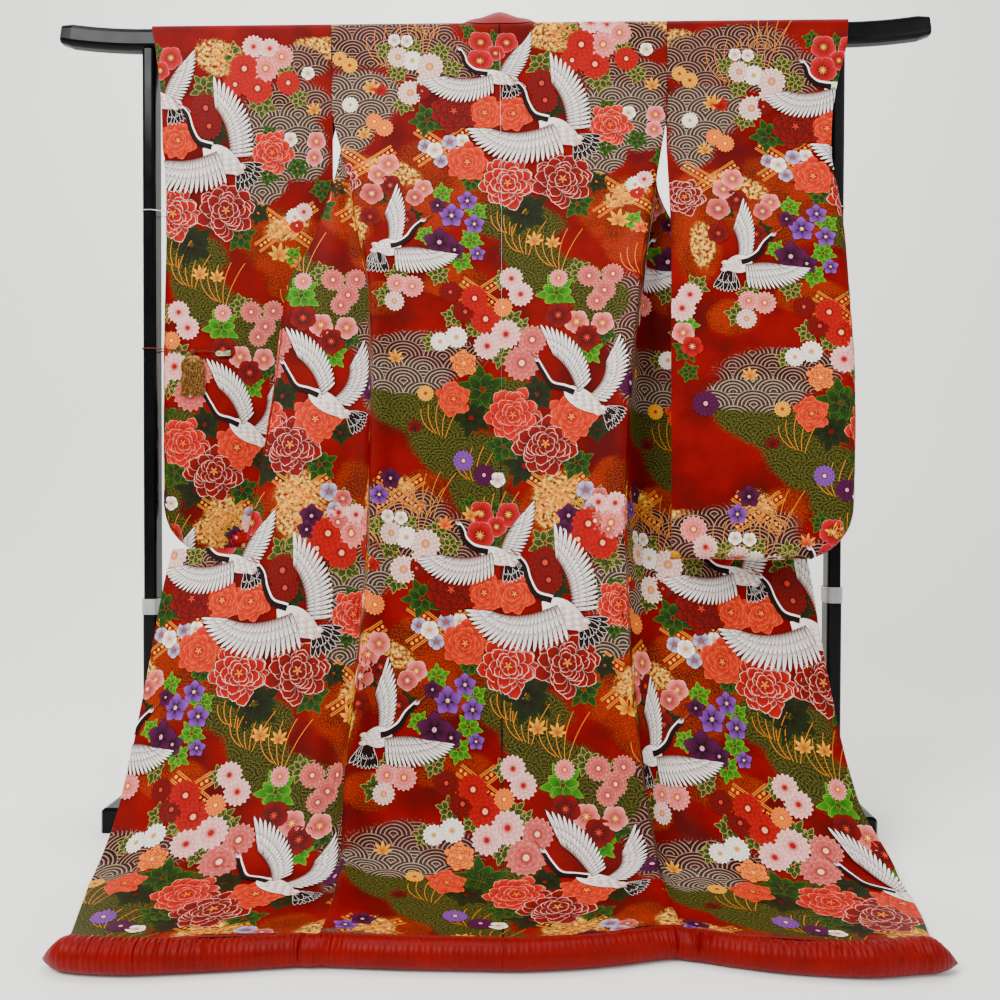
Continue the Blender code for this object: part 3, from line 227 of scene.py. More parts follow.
RIGHT_LEVELS = (
    Level(0.060, 0.315, 0.000, 0.300, -0.041, 0.270, -0.041, 0.270, -0.041, 0.092, -0.042),
    Level(0.170, 0.313, 0.000, 0.292, -0.052, 0.262, -0.056, 0.262, -0.056, 0.096, -0.060),
    Level(0.338, 0.284, 0.008, 0.287, -0.032, 0.294, -0.040, 0.294, -0.056, 0.120, -0.090),
    Level(0.445, 0.264, 0.020, 0.274, -0.038, 0.345, -0.044, 0.345, -0.058, 0.160, -0.088),
    Level(0.520, 0.252, 0.028, 0.266, -0.038, 0.372, -0.044, 0.372, -0.058, 0.190, -0.084),
    Level(0.760, 0.224, 0.040, 0.250, -0.036, 0.392, -0.046, 0.392, -0.060, 0.240, -0.076),
    Level(1.010, 0.212, 0.044, 0.258, -0.030, 0.397, -0.040, 0.540, -0.050, 0.350, -0.060),
    Level(1.220, 0.216, 0.044, 0.284, -0.014, 0.420, -0.024, 0.559, -0.040, 0.400, -0.040),
    Level(1.420, 0.229, 0.042, 0.290, -0.004, 0.455, -0.006, 0.581, -0.020, 0.440, -0.020),
    Level(1.530, 0.240, 0.030, 0.280, 0.000, 0.480, 0.004, 0.612, -0.004, 0.460, -0.004),
    Level(1.650, 0.242, 0.018, 0.272, 0.002, 0.474, 0.003, 0.599, 0.002, 0.460, 0.000),
    Level(1.800, 0.242, 0.000, 0.268, 0.000, 0.462, 0.000, 0.558, 0.000, 0.460, 0.000),
)
LEVELS = {-1: LEFT_LEVELS, 1: RIGHT_LEVELS}

HEM_DROP = 1.790
SIDE_SEAM_TOP = 0.338
OKUMI_TOP = 1.010
NECK_HALF = 0.094
NECK_DEPTH = 0.020
SLEEVE_SEAM_DROP = 0.168
BEHIND_BAR = 0.060  # down to here the front lies behind the bar just as the back does before it

HEM_LINE_FROM = 1.45  # the hem's own line takes hold from here down
# How far back the hem lies, by the place across.
HEM_LINE = (
    (-0.66, -0.006), (-0.58, -0.010), (-0.51, -0.020), (-0.42, -0.020), (-0.34, -0.010), (-0.25, 0.004),
    (-0.10, 0.000), (0.00, 0.000), (0.09, 0.008), (0.17, 0.026), (0.225, 0.039), (0.265, 0.032),
    (0.34, 0.009), (0.41, 0.000), (0.47, 0.004), (0.53, 0.015), (0.58, 0.018), (0.66, 0.020),
)

# Soft pipes and troughs that run down the panels: where each starts and ends across (from the centre seam,
# left below zero) and down, its half width, and its height (a trough's is below zero).
Fold = namedtuple("Fold", "across_top across_low top low half height")
FOLDS = (
    Fold(-0.120, -0.150, 0.30, 1.75, 0.050, 0.008),
    Fold(0.110, 0.135, 0.25, 1.75, 0.045, 0.008),
    Fold(-0.010, -0.012, 0.55, 1.70, 0.040, -0.007),
    Fold(-0.330, -0.350, 0.75, 1.72, 0.040, 0.016),
    Fold(-0.410, -0.415, 1.05, 1.72, 0.030, -0.010),
    Fold(0.315, 0.355, 0.95, 1.72, 0.036, 0.020),
    Fold(0.390, 0.415, 1.05, 1.72, 0.030, -0.010),
    Fold(-0.545, -0.560, 1.12, 1.70, 0.030, 0.012),
    Fold(0.500, 0.545, 1.12, 1.70, 0.030, 0.012),
)


def smooth(points, steps, before=None):
    """A centripetal Catmull-Rom curve through the points, with this many steps to each span. before is the
    point that a longer curve would come from."""
    p = np.asarray(points, float)
    before = 2 * p[0] - p[1] if before is None else before
    ends = np.vstack([before, p, 2 * p[-1] - p[-2]])
    out = []
    for i in range(1, len(ends) - 2):
        q = ends[i - 1 : i + 3]
        chords = np.linalg.norm(np.diff(q, axis=0), axis=1)
        t = np.concatenate([[0.0], np.cumsum(np.sqrt(chords) + 1e-9)])
        u = np.linspace(t[1], t[2], steps, endpoint=False)[:, None]
        a = [((t[k + 1] - u) * q[k] + (u - t[k]) * q[k + 1]) / (t[k + 1] - t[k]) for k in range(3)]
        b = [((t[k + 2] - u) * a[k] + (u - t[k]) * a[k + 1]) / (t[k + 2] - t[k]) for k in range(2)]
        out.append(((t[2] - u) * b[0] + (u - t[1]) * b[1]) / (t[2] - t[1]))
    out.append(p[-1:])
    return np.vstack(out)


def runs(curve):
    """How far along the curve each of its points is."""
    return np.concatenate([[0.0], np.cumsum(np.linalg.norm(np.diff(curve, axis=0), axis=1))])


def along(curve, places):
    """Points of a dense curve at these lengths from its start."""
    run = runs(curve)
    return np.stack([np.interp(places, run, curve[:, k]) for k in range(curve.shape[1])], axis=-1)


def length(curve):
    """The whole curve's."""
    return float(np.linalg.norm(np.diff(curve, axis=0), axis=1).sum())


def headings(curve, places):
    """The curve's directions at these lengths."""
    step = 0.001
    run = length(curve)
    t = along(curve, np.minimum(np.asarray(places) + step, run)) - along(curve, np.maximum(places - step, 0))
    return t / np.linalg.norm(t, axis=-1, keepdims=True)


def eased(rows, x):
    """Reads a table of (x, value) rows with no overshoot, by a cubic with limited slopes."""
    xs, ys = (np.array(c, float) for c in zip(*rows))
    h, d = np.diff(xs), np.diff(ys) / np.diff(xs)
    m = np.zeros_like(ys)
    m[0], m[-1] = d[0], d[-1]
    for i in range(1, len(ys) - 1):
        if d[i - 1] * d[i] > 0:
            w0, w1 = 2 * h[i] + h[i - 1], h[i] + 2 * h[i - 1]
            m[i] = (w0 + w1) / (w0 / d[i - 1] + w1 / d[i])
    x = np.clip(x, xs[0], xs[-1])
    i = np.clip(np.searchsorted(xs, x) - 1, 0, len(h) - 1)
    t = (x - xs[i]) / h[i]
    return (
        (1 + 2 * t) * (1 - t) ** 2 * ys[i]
        + t * (1 - t) ** 2 * h[i] * m[i]
        + t * t * (3 - 2 * t) * ys[i + 1]
        + t * t * (t - 1) * h[i] * m[i + 1]
    )


def step_up(x, low, high):
    """0 below low and 1 above high, with a smooth rise between."""
    t = min(max((x - low) / (high - low), 0.0), 1.0)
    return t * t * (3 - 2 * t)


HANG_STEPS = 40
HANG_CURVE = smooth(HANG, HANG_STEPS)
HANG_LENGTH = length(HANG_CURVE)


def hang(drop):
    """(y, z) and the outward normal of the back's centre line, this far down from the shoulder."""
    at, near = drop * HANG_LENGTH / HEM_DROP, 0.002
    before, here, after = along(HANG_CURVE, np.array([at - near, at, at + near]))
    t = after - before
    t /= np.linalg.norm(t)
    return here, np.array([t[1], -t[0]])


def level(side, drop):
    """The level's sizes at this drop, as a Level."""
    rows = LEVELS[side]
    values = [eased([(r.drop, getattr(r, c)) for r in rows], drop) for c in Level._fields[1:]]
    return Level(drop, *map(float, values))


def placed(side, drop, out_from_centre, out):
    """The point that lies so far from the centre seam and stands out so far, with the soft folds added."""
    (y, z), n = hang(drop)
    across = side * out_from_centre
    for f in FOLDS:
        share = (drop - f.top) / (f.low - f.top)
        if 0 < share < 1:
            middle = f.across_top + (f.across_low - f.across_top) * share
            swell = math.sin(math.pi * share) ** 0.7
            out += f.height * swell * math.exp(-(((across - middle) / f.half) ** 2))
    low = step_up(drop, HEM_LINE_FROM, HEM_DROP)
    y += low * float(eased(HEM_LINE, across))
    return (across + float(eased(CENTRE_X, drop)), y + out * n[0], z + out * n[1])


ROW_STEPS = 8  # to each span of a row's curve
LAPEL_TURN = 0.011  # how far the lapel's fold curves back on itself
BACK_POINTS = 8  # the back's side seam is the last of these
EDGE_ROLL_FROM, EDGE_ROLL_FULL = 0.25, 0.45  # the back's side edge starts to turn back, and turns fully
TRAIN_FROM = 1.50  # on the train, from here down, it lies flatter again


@lru_cache(maxsize=None)
def side_row(side, drop):
    """The cloth's curve across one side at a level, and the lengths along it of the side seam, the front's
    fold or okumi seam, and the okumi's edge. Above the side seam's top there is only the back."""
    s = level(side, drop)
    low = 1 - step_up(drop, TRAIN_FROM, HEM_DROP)
    roll = step_up(drop, EDGE_ROLL_FROM, EDGE_ROLL_FULL)
    w, c = s.ridge, s.ridge_out
    points = [
        (0.0, 0.0), (0.08 * w, 0.0), (0.28 * w, 0.08 * c), (0.55 * w, 0.22 * c), (w - 0.040, 0.62 * c),
        (w - 0.018, 0.93 * c), (w - 0.004, c), (w + 0.002 * roll, c - (0.0035 + 0.011 * low) * roll),
    ]
    if drop >= SIDE_SEAM_TOP:
        span, reach = s.fold - s.valley, s.edge - s.fold
        seam_out = points[-1][1]
        points += [
            (s.valley - 0.25 * (s.valley - w), s.valley_out + 0.15 * (seam_out - s.valley_out)),
            (s.valley + 0.16 * span, s.valley_out),
            (s.valley + 0.55 * span, 0.5 * (s.valley_out + s.fold_out) + 0.004),
            (s.fold, s.fold_out),
        ]
        if drop >= OKUMI_TOP:
            fall = s.edge_out - s.fold_out
            slope = ((0.35, 0.25), (0.7, 0.65), (1, 1))
            points += [(s.fold + f * reach, s.fold_out + g * fall) for f, g in slope]
    beyond_centre = placed(-side, drop, 0.08 * w, 0.0)
    curve = smooth([placed(side, drop, a, o) for a, o in points], ROW_STEPS, before=beyond_centre)
    knots = (BACK_POINTS - 1, BACK_POINTS + 3, len(points) - 1)
    stops = [float(runs(curve)[k * ROW_STEPS]) for k in knots if k < len(points)]
    return curve, stops


def turned_row(side, drop):
    """Above the okumi the front is turned back at its fold, like a lapel, and goes in again behind."""
    s, turn = level(side, drop), LAPEL_TURN
    points = [
        (s.fold, s.fold_out), (s.fold + 0.005, s.fold_out - 0.6 * turn),
        (s.fold + 0.001, s.fold_out - 1.6 * turn), (s.fold - 0.014, s.fold_out - 2 * turn),
        (0.5 * (s.fold + s.free), 0.45 * (s.fold_out - 2 * turn) + 0.55 * s.free_out), (s.free, s.free_out),
    ]
    return smooth([placed(side, drop, a, o) for a, o in points], ROW_STEPS)


def neck(across):
    """How far below the shoulder the back's top edge is cut for the neck."""
    return NECK_DEPTH * (1 - step_up(abs(across), 0.40 * NECK_HALF, NECK_HALF))


def over_the_back(point):
    """The same place on the far side of the bar."""
    x, y, z = point
    return (x, -y, z)


FOLD_SPANS = 2  # spans of an upper front's row from its side edge to its fold


def upper_front_row(side, drop):
    """Above the side seam the front hangs behind the bar, from the sleeve seam in to the neck. Lower down
    its side edge comes forward under the bar to the back's, and the lapel's fold grows out beside it. With
    the curve goes the length along it to the fold."""
    top = level(side, min(drop, SLEEVE_SEAM_DROP))
    y = hang(drop)[0][0]
    aside = (top.ridge, 0.5 * (top.ridge + top.valley), top.valley, top.fold, top.fold - 0.020,
             0.5 * (top.fold + top.free), top.free)
    if drop < BEHIND_BAR:
        curve = smooth([over_the_back(placed(side, drop, a, 0.0)) for a in aside], ROW_STEPS)
        return curve, length(curve[: FOLD_SPANS * ROW_STEPS + 1])
    outs = [2 * y, 0.5 * (2 * y + top.valley_out), top.valley_out, top.fold_out, top.fold_out,
            0.5 * (top.fold_out + top.free_out), top.free_out]
    hung = np.array(list(zip(aside, outs)))
    low = level(side, SIDE_SEAM_TOP)
    out, turn = low.fold_out, LAPEL_TURN
    lapelled = np.array([
        (low.ridge, low.ridge_out - 0.012), (0.5 * (low.ridge + low.fold), out + 0.001), (low.fold, out),
        (low.fold + 0.003, out - turn), (low.fold - 0.010, out - 2 * turn),
        (0.5 * (low.fold + low.free), 0.45 * (out - 2 * turn) + 0.55 * low.free_out),
        (low.free, low.free_out),
    ])
    share = (max(drop, SLEEVE_SEAM_DROP) - SLEEVE_SEAM_DROP) / (SIDE_SEAM_TOP - SLEEVE_SEAM_DROP)
    sooner = np.array([1 - (1 - share) ** 2.2, 1 - (1 - share) ** 1.4] + [share**1.3] * 4 + [share])
    points = np.stack([(1 - share) * hung[:, 0] + share * lapelled[:, 0],
                       (1 - sooner) * hung[:, 1] + sooner * lapelled[:, 1]], axis=1)
    curve = smooth([placed(side, drop, a, o) for a, o in points], ROW_STEPS)
    return curve, length(curve[: FOLD_SPANS * ROW_STEPS + 1])


# ---------------------------------------------------------------- the brocade's ground and the lining
# Silk brocade: a crimson twill ground with clouds blown over it in orange, gold, violet, moss and silver.
# Their edges break up into specks, and wave scales are woven into the last three. The lining is plain silk.

DYE_DEPTH = 2.2
Cloud = namedtuple("Cloud", "across down half_across half_down slant")
GOLD, VIOLET, MOSS, ORANGE, SILVER = range(5)
CLOUD_REACH = 1.40  # in its half sizes: where a cloud ends
CLOUD_EDGE = 0.62  # the width of its edge, in the same
# One repeat of the design, 64 cm wide, in centimetres from its middle and from its top.
CLOUDS = {
    GOLD: (
        (10, 3, 4, 3, 20), (-30, 1.5, 5, 2, 0), (30, 1.5, 5, 2, 0), (-20, 30, 5, 2, 20),
        (23, 35, 4, 2, -20), (-27, 42, 2, 4, 0), (-18, 92, 3, 4, 0), (10, 91, 4, 4, 0), (25, 93, 3, 5, 0),
    ),
    VIOLET: (
        (-22, 4, 12, 5, -6), (-11, 8, 8, 4, 0), (24, 12, 8, 4, 0), (26, 4, 5, 3, 0), (23, 60, 4, 8, 0),
        (25, 70, 4, 6, 0), (-14, 66, 10, 4, 0), (-20, 97, 8, 3, 0), (30, 80, 3, 5, 0),
    ),
    MOSS: (
        (3, 40, 8, 4, 10), (6, 47, 6, 4, 30), (12, 52, 9, 4, 15), (18, 56, 5, 4, 0), (-16, 76, 9, 4, 20),
        (-10, 82, 7, 5, 40), (-4, 87, 5, 7, 15), (1, 74, 5, 4, 0), (-1, 94, 4, 4, 0),
    ),
    ORANGE: (
        (-24, 31, 7, 4, 0), (-28, 40, 4, 9, 0), (-14, 36, 9, 6, 0), (-14, 27, 5, 3, 0), (-4, 33, 4, 5, 0),
        (22, 38, 8, 6, 20), (24, 45, 5, 4, 0), (-8, 52, 6, 3, 0), (-22, 56, 4, 3, 0), (-14, 91, 4, 4, 0),
        (11, 94, 7, 6, 0), (20, 91, 4, 6, 0),
    ),
    SILVER: (
        (-26, 15, 7, 5, 0), (-28, 21, 4, 5, 0), (22, 18, 8, 5, 0), (26, 22, 5, 4, 0), (18, 28, 5, 3, -20),
        (-18, 70, 8, 3, 0),
    ),
}
Repeat = namedtuple("Repeat", "across down scale")
# Each panel is cut from its own length, so the design starts somewhere else on it: where the repeats' middles
# and tops are, from the centre seam and the shoulder, and how far the design is drawn in down the train.
BACK_REPEATS = (Repeat(0, 1, 1), Repeat(0, 92.5, 0.885))
LEFT_REPEATS = (Repeat(-49.5, 1, 1), Repeat(-50, 94, 0.885))
RIGHT_REPEATS = (Repeat(47, 3, 1), Repeat(47, 95.5, 0.875))
REPEATS = {
    "back_left": BACK_REPEATS,
    "back_right": BACK_REPEATS,
    "front_left": LEFT_REPEATS,
    "front_right": RIGHT_REPEATS,
    "okumi_left": LEFT_REPEATS,
    "okumi_right": RIGHT_REPEATS,
    "sleeve_left": (Repeat(-64, 5, 1), Repeat(-66, 96, 1)),
    "sleeve_right": (Repeat(64, 4.5, 1), Repeat(62, 96, 1)),
    "sleeve_left_hidden": (Repeat(-40, -52, 1), Repeat(-40, 40, 1)),
    "sleeve_right_hidden": (Repeat(42, -48, 1), Repeat(42, 44, 1)),
    "collar": (Repeat(-4, -99, 1), Repeat(-5, -3, 1), Repeat(18, 70, 1)),
}


def dye(red, green, blue):
    """A silk's colour, named by how it looks in bright light; the cloth itself is deeper."""
    return tuple(c ** DYE_DEPTH for c in srgb(red, green, blue))


def ground_fields(across, down, repeats):
    """How strongly each kind of cloud shows, at places given in metres across and down the cloth."""
    fields = np.zeros((len(across), len(CLOUDS)))
    for repeat in repeats:
        for kind, clouds in CLOUDS.items():
            for cloud in map(Cloud._make, clouds):
                turn = math.radians(cloud.slant)
                x = 100 * across - repeat.across - cloud.across
                y = 100 * down - repeat.down - repeat.scale * cloud.down
                u, v = x * math.cos(turn) + y * math.sin(turn), y * math.cos(turn) - x * math.sin(turn)
                reach = np.sqrt((u / cloud.half_across) ** 2 + (v / cloud.half_down) ** 2)
                strength = np.clip((CLOUD_REACH - reach) / CLOUD_EDGE, 0.0, 1.0)
                fields[:, kind] = np.maximum(fields[:, kind], strength)
    return fields


SCALE_WIDE, SCALE_HIGH, SCALE_RINGS = 0.070, 0.024, 5
SCALE_SQUASH = 1.5  # how much flatter than round a fan's arcs are, squared
ON_THREAD, BESIDE_THREAD = 0.44, 0.32  # from the middle between two arcs, as a share of their spacing


def wave_scales(made, across, down):
    """Rows of overlapping fans of arcs, each row half a fan along from the last: 1 on an arc's thread."""
    wide, high = SCALE_WIDE, SCALE_HIGH

    def fans(row_shift):
        row = made.maths("DIVIDE", made.plus(down, row_shift * high), 2 * high)
        fall = made.times(made.maths("FRACT", row), 2 * high)
        along_row = made.maths("DIVIDE", made.plus(across, row_shift * wide / 2 + 5 * wide), wide)
        aside = made.times(made.less(made.maths("FRACT", along_row), 0.5), wide)
        rise = made.less(2 * high, fall)
        square = made.plus(made.times(aside, aside), made.times(made.times(rise, rise), SCALE_SQUASH))
        far = made.maths("SQRT", square)
        return far, made.maths("LESS_THAN", far, wide / 2)

    first, first_in = fans(0.0)
    second, _ = fans(1.0)
    near = made.node("ShaderNodeMix", {"data_type": "FLOAT"}, in0=first_in, in2=second, in3=first).outputs[0]
    ring = made.maths("FRACT", made.times(near, 2 * SCALE_RINGS / wide))
    return made.ramp(made.maths("ABSOLUTE", made.less(ring, 0.5)), BESIDE_THREAD, ON_THREAD)


RIB_SPACING = 0.0011
SEAM_LINE = (0.0009, 0.0020)  # the centre seam's shadow is full to the first, and gone at the second
RIB_SHADE = (0.02, 0.004, 0.004)


def brocade_finish():
    """The ground, then each kind of cloud over it, then the painted shadow along the centre seam and the
    weave's ribs.
    """
    made = Finish("brocade", 0.60, Specular_IOR_Level=0.06)
    flat = made.node("ShaderNodeUVMap", {"uv_map": "cloth"}).outputs[0]
    across, down, _ = made.node("ShaderNodeSeparateXYZ", None, in0=flat).outputs
    clouds = made.node("ShaderNodeAttribute", {"attribute_name": "ground"}).outputs
    golds, violets, mosses = made.node("ShaderNodeSeparateColor", None, in0=clouds["Color"]).outputs
    silvers = made.node("ShaderNodeAttribute", {"attribute_name": "silver"}).outputs["Fac"]
    specks = made.noise(620.0, 2.0, flat)
    drift = made.noise(16.0, 4.0, flat)
    rough_edge = made.plus(made.times(made.less(specks, 0.5), 1.3), made.times(made.less(drift, 0.5), 0.9))
    foil = made.ramp(made.noise(150.0, 4.0, flat, 0.6), 0.40, 0.62)
    threads = made.ramp(made.noise(420.0, 2.0, flat), 0.45, 0.60)
    scales = wave_scales(made, across, down)

    def woven(share, first, second, thread_share=0.0, thread=None):
        """Two colours mixed, with stray threads of a third."""
        mixed = made.mix(share, first, second)
        return made.mix(made.times(threads, thread_share), mixed, thread) if thread else mixed

    def over(colour, field, cloud):
        """The colour with a kind of cloud on it, which breaks up into specks at its edge."""
        return made.mix(made.ramp(made.plus(field, rough_edge), 0.44, 0.58), colour, cloud)

    twill = made.ramp(made.noise(9.0, 4.0, flat), 0.3, 0.7)
    ground = woven(twill, dye(150, 0, 4), dye(186, 0, 6))
    orange = woven(made.ramp(drift, 0.35, 0.65), dye(146, 34, 6), dye(186, 84, 22), 0.35, dye(224, 150, 66))
    gold = woven(foil, dye(186, 92, 26), dye(255, 232, 158), 0.30, dye(160, 74, 18))
    cool = made.ramp(made.noise(9.0, 3.0, flat), 0.35, 0.65)
    violet = woven(cool, dye(92, 56, 84), dye(124, 92, 108), 0.35, dye(150, 122, 104))
    violet = made.mix(made.times(scales, 0.8), violet, dye(222, 196, 172))
    moss = woven(threads, dye(62, 86, 36), dye(148, 152, 92))
    moss = made.mix(made.times(scales, 0.25), moss, dye(196, 176, 112))
    silver = woven(made.times(threads, 0.6), dye(112, 94, 96), dye(164, 148, 132))
    silver = made.mix(made.times(scales, 0.8), silver, dye(226, 212, 196))
    colour = over(ground, clouds["Alpha"], orange)
    for field, cloud in ((golds, gold), (violets, violet), (mosses, moss), (silvers, silver)):
        colour = over(colour, field, cloud)
    # A dark band along the centre seam: painted shadow.
    seam = made.ramp(made.maths("ABSOLUTE", across), *SEAM_LINE, 1.0, 0.0)
    colour = made.mix(seam, colour, dye(70, 6, 8))
    ribs = made.ridges(down, RIB_SPACING)
    made.colour(made.mix(made.times(ribs, 0.22), colour, RIB_SHADE))
    made.bump(made.plus(made.times(ribs, 0.5), made.noise(900.0, 2.0, flat)), 0.25, 0.0006)
    return made


def lining_finish():
    made = Finish("red_lining", 0.5, Specular_IOR_Level=0.15)
    made.colour(made.mix(made.noise(30.0, 3.0), dye(168, 10, 16), dye(188, 18, 22)))
    made.bump(made.noise(1100.0, 2.0), 0.12)
    return made


brocade = brocade_finish()
lining = lining_finish()

# ---------------------------------------------------------------- the back
# Two lengths of brocade sewn down the centre and backed with wadding and lining. The tops are cut away for
# the neck, and both go over the bar.

Patch = namedtuple("Patch", "points normals across down")


def drops_through(stops, step):
    """Drops through these stops, no further apart than this."""
    out = []
    for a, b in zip(stops, stops[1:]):
        count = max(1, math.ceil((b - a) / step - 1e-6))
        out += [a + (b - a) * k / count for k in range(count)]
    return tuple(round(d, 6) for d in out + [stops[-1]])


OVER_BAR = (SEAM_GAP / 2, 0.0035, 0.007, 0.0095, 0.012, 0.0145, 0.017, 0.0195, 0.022, 0.025, 0.028)
CLOTH_STEP = 0.0125
SEAM_DROPS = (OVER_BAR[-1], SLEEVE_SEAM_DROP, SIDE_SEAM_TOP, OKUMI_TOP - 0.004, OKUMI_TOP, HEM_DROP)
DROPS = OVER_BAR[:-1] + drops_through(SEAM_DROPS, CLOTH_STEP)


def patch_of(facing, drops, row):
    """A patch of cloth from row(drop), which gives a row's points, evenly spread, and how far its two ends
    are from the centre seam along the cloth. facing is 1 or -1 to turn the normals out of the garment."""
    rows = [row(drop) for drop in drops]
    points = np.array([r[0] for r in rows]) + np.array([0.0, BAR_Y, 0.0])
    normals = np.cross(np.gradient(points, axis=1), np.gradient(points, axis=0))
    normals *= facing / np.maximum(np.linalg.norm(normals, axis=2, keepdims=True), 1e-12)
    across = np.array([np.linspace(r[1], r[2], points.shape[1]) for r in rows])
    return Patch(points, normals, across, np.repeat(np.array(drops)[:, None], points.shape[1], axis=1))


def joined(patches, axis):
    """Patches that share an edge, side by side (axis 1) or one under the other (axis 0), as one."""
    rest = [[f[1:] if axis == 0 else f[:, 1:] for f in p] for p in patches[1:]]
    return Patch(*(np.concatenate(fields, axis=axis) for fields in zip(patches[0], *rest)))


def new_mesh(name, vertices, faces, *finishes):
    mesh = bpy.data.meshes.new(name)
    mesh.from_pydata(vertices, [], faces)
    for finish in finishes:
        mesh.materials.append(finish.material)
    return mesh


def lay_flat(mesh, across, down):
    """The map that the weave follows: metres across and down the cloth, for each point of the mesh."""
    corners = np.zeros(len(mesh.loops), np.int32)
    mesh.loops.foreach_get("vertex_index", corners)
    flat = np.stack([across, down], axis=1)[corners]
    mesh.uv_layers.new(name="cloth").data.foreach_set("uv", flat.astype(np.float32).ravel())


def mended(mesh, mend):
    """Works on the mesh's points, edges and faces."""
    work = bmesh.new()
    work.from_mesh(mesh)
    mend(work)
    work.to_mesh(mesh)
    work.free()


def faces_outwards(work):
    bmesh.ops.recalc_face_normals(work, faces=work.faces)


def standing(mesh):
    """The mesh as a piece in the scene, held where it is."""
    made = bpy.data.objects.new(mesh.name, mesh)
    bpy.context.scene.collection.objects.link(made)
    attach(made, "root")
    return made


CREASE = math.radians(50)  # a sharper turn than this, as at a cut edge, isn't smoothed over


def shell(name, cloth, repeats, wall=WALL, kept=None):
    """The cloth as a closed wall about a patch: the brocade outside, and the lining inside and round the
    turned edges. kept says which of the patch's quads there is cloth on."""
    rows, columns = cloth.points.shape[:2]
    kept = np.ones((rows - 1, columns - 1), bool) if kept is None else kept
    index = np.arange(rows * columns).reshape(rows, columns)
    quads = np.stack([index[:-1, :-1], index[:-1, 1:], index[1:, 1:], index[1:, :-1]], axis=-1)[kept]
    middle = rows // 2
    turned = np.cross(cloth.points[middle, 1] - cloth.points[middle, 0],
                      cloth.points[middle + 1, 0] - cloth.points[middle, 0]) @ cloth.normals[middle, 0]
    if turned > 0:
        quads = quads[:, ::-1]
    count = rows * columns
    edges = {(a, b) for quad in quads.tolist() for a, b in zip(quad, quad[1:] + quad[:1])}
    rim = [(b, a, a + count, b + count) for a, b in sorted(edges) if (b, a) not in edges]
    faces = quads.tolist() + (quads[:, ::-1] + count).tolist() + rim
    lift = cloth.normals * wall / 2
    vertices = np.concatenate([(cloth.points + lift).reshape(-1, 3), (cloth.points - lift).reshape(-1, 3)])
    mesh = new_mesh(name, vertices.tolist(), faces, brocade, lining)
    across, down = np.tile(cloth.across.ravel(), 2), np.tile(cloth.down.ravel(), 2)
    lay_flat(mesh, across, down)
    fields = ground_fields(across, down, repeats).astype(np.float32)
    ground = mesh.attributes.new("ground", "FLOAT_COLOR", "POINT")
    ground.data.foreach_set("color", fields[:, :SILVER].ravel())
    mesh.attributes.new("silver", "FLOAT", "POINT").data.foreach_set("value", fields[:, SILVER])
    mesh.polygons.foreach_set("material_index", (np.arange(len(faces)) >= len(quads)).astype(np.int32))
    mended(mesh, lambda work: bmesh.ops.delete(
        work, geom=[v for v in work.verts if not v.link_faces], context="VERTS"))
    mesh.shade_smooth()
    mesh.set_sharp_from_angle(angle=CREASE)
    return standing(mesh)


BACK_COLUMNS = 33
NECK_CUT_ENDS = 0.16  # across the cut the rows bend less and less down to here


def back_patch(side):
    shares = np.linspace(0, 1, BACK_COLUMNS)

    def row(drop):
        width = level(side, drop).ridge
        points = []
        for share in shares:
            cut = neck(share * width) * (1 - step_up(drop, 0.0, NECK_CUT_ENDS))
            curve, stops = side_row(side, round(drop + cut, 6))
            points.append(along(curve, np.clip(share * stops[0], SEAM_GAP / 2, stops[0] - SEAM_GAP / 2)))
        return points, 0.0, side * side_row(side, drop)[1][0]

    return patch_of(-side, DROPS, row)


patches = {}
for side, word in ((-1, "left"), (1, "right")):
    name = f"back_{word}"
    patches[name] = [back_patch(side)]
    cloth = shell(f"{name}_cloth", patches[name][0], REPEATS[name])
    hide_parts(name)

# ---------------------------------------------------------------- the fronts
# The other half of the same two lengths, down the front. They hang behind the bar, come forward under the arm
# to the side seam, and are turned back at the fold above the okumi, like a lapel.

SHOWN_COLUMNS = 25
TURNED_COLUMNS = 23
FOLD_COLUMNS = 12  # of the turned ones, those that are close together, up to FOLD_REACH from the fold
FOLD_REACH = 0.045


def front_rows(side):
    """The two halves of the front's row at a drop: side edge to fold, and fold to free edge."""

    def shown(drop):
        if drop < SIDE_SEAM_TOP:
            curve, fold_at = upper_front_row(side, drop)
            start, end, first = SEAM_GAP / 2, fold_at, level(side, drop).ridge
        else:
            curve, stops = side_row(side, drop)
            start, end = stops[0] + SEAM_GAP, stops[1] - (SEAM_GAP / 2 if drop >= OKUMI_TOP else 0.0)
            first = stops[0]
        places = np.linspace(start, end, SHOWN_COLUMNS)
        return along(curve, places), side * first, side * (first + end - start)

    def turned(drop):
        if drop < SIDE_SEAM_TOP:
            curve, fold_at = upper_front_row(side, drop)
            first = level(side, drop).ridge + fold_at
        else:
            curve, fold_at = turned_row(side, min(drop, OKUMI_TOP)), 0.0
            first = side_row(side, drop)[1][1]
        run = length(curve)
        near = np.linspace(0, FOLD_REACH, FOLD_COLUMNS)
        beyond = np.linspace(FOLD_REACH, run - fold_at, TURNED_COLUMNS - FOLD_COLUMNS + 1)[1:]
        places = fold_at + np.concatenate([near, beyond])
        return along(curve, places), side * first, side * (first + run - fold_at)

    return shown, turned


for side, word in ((-1, "left"), (1, "right")):
    name = f"front_{word}"
    shown, turned = (patch_of(-side, DROPS, row) for row in front_rows(side))
    patches[name] = [shown, turned]
    kept = np.ones((len(DROPS) - 1, SHOWN_COLUMNS + TURNED_COLUMNS - 2), bool)
    kept[DROPS.index(OKUMI_TOP) - 1 :, SHOWN_COLUMNS - 1 :] = False
    cloth = shell(f"{name}_cloth", joined([shown, turned], 1), REPEATS[name], kept=kept)
    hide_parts(name)

# ---------------------------------------------------------------- the okumi
# A half-width strip sewn to each front's edge from the hem up, which the hem roll then goes along.

OKUMI_COLUMNS = 15

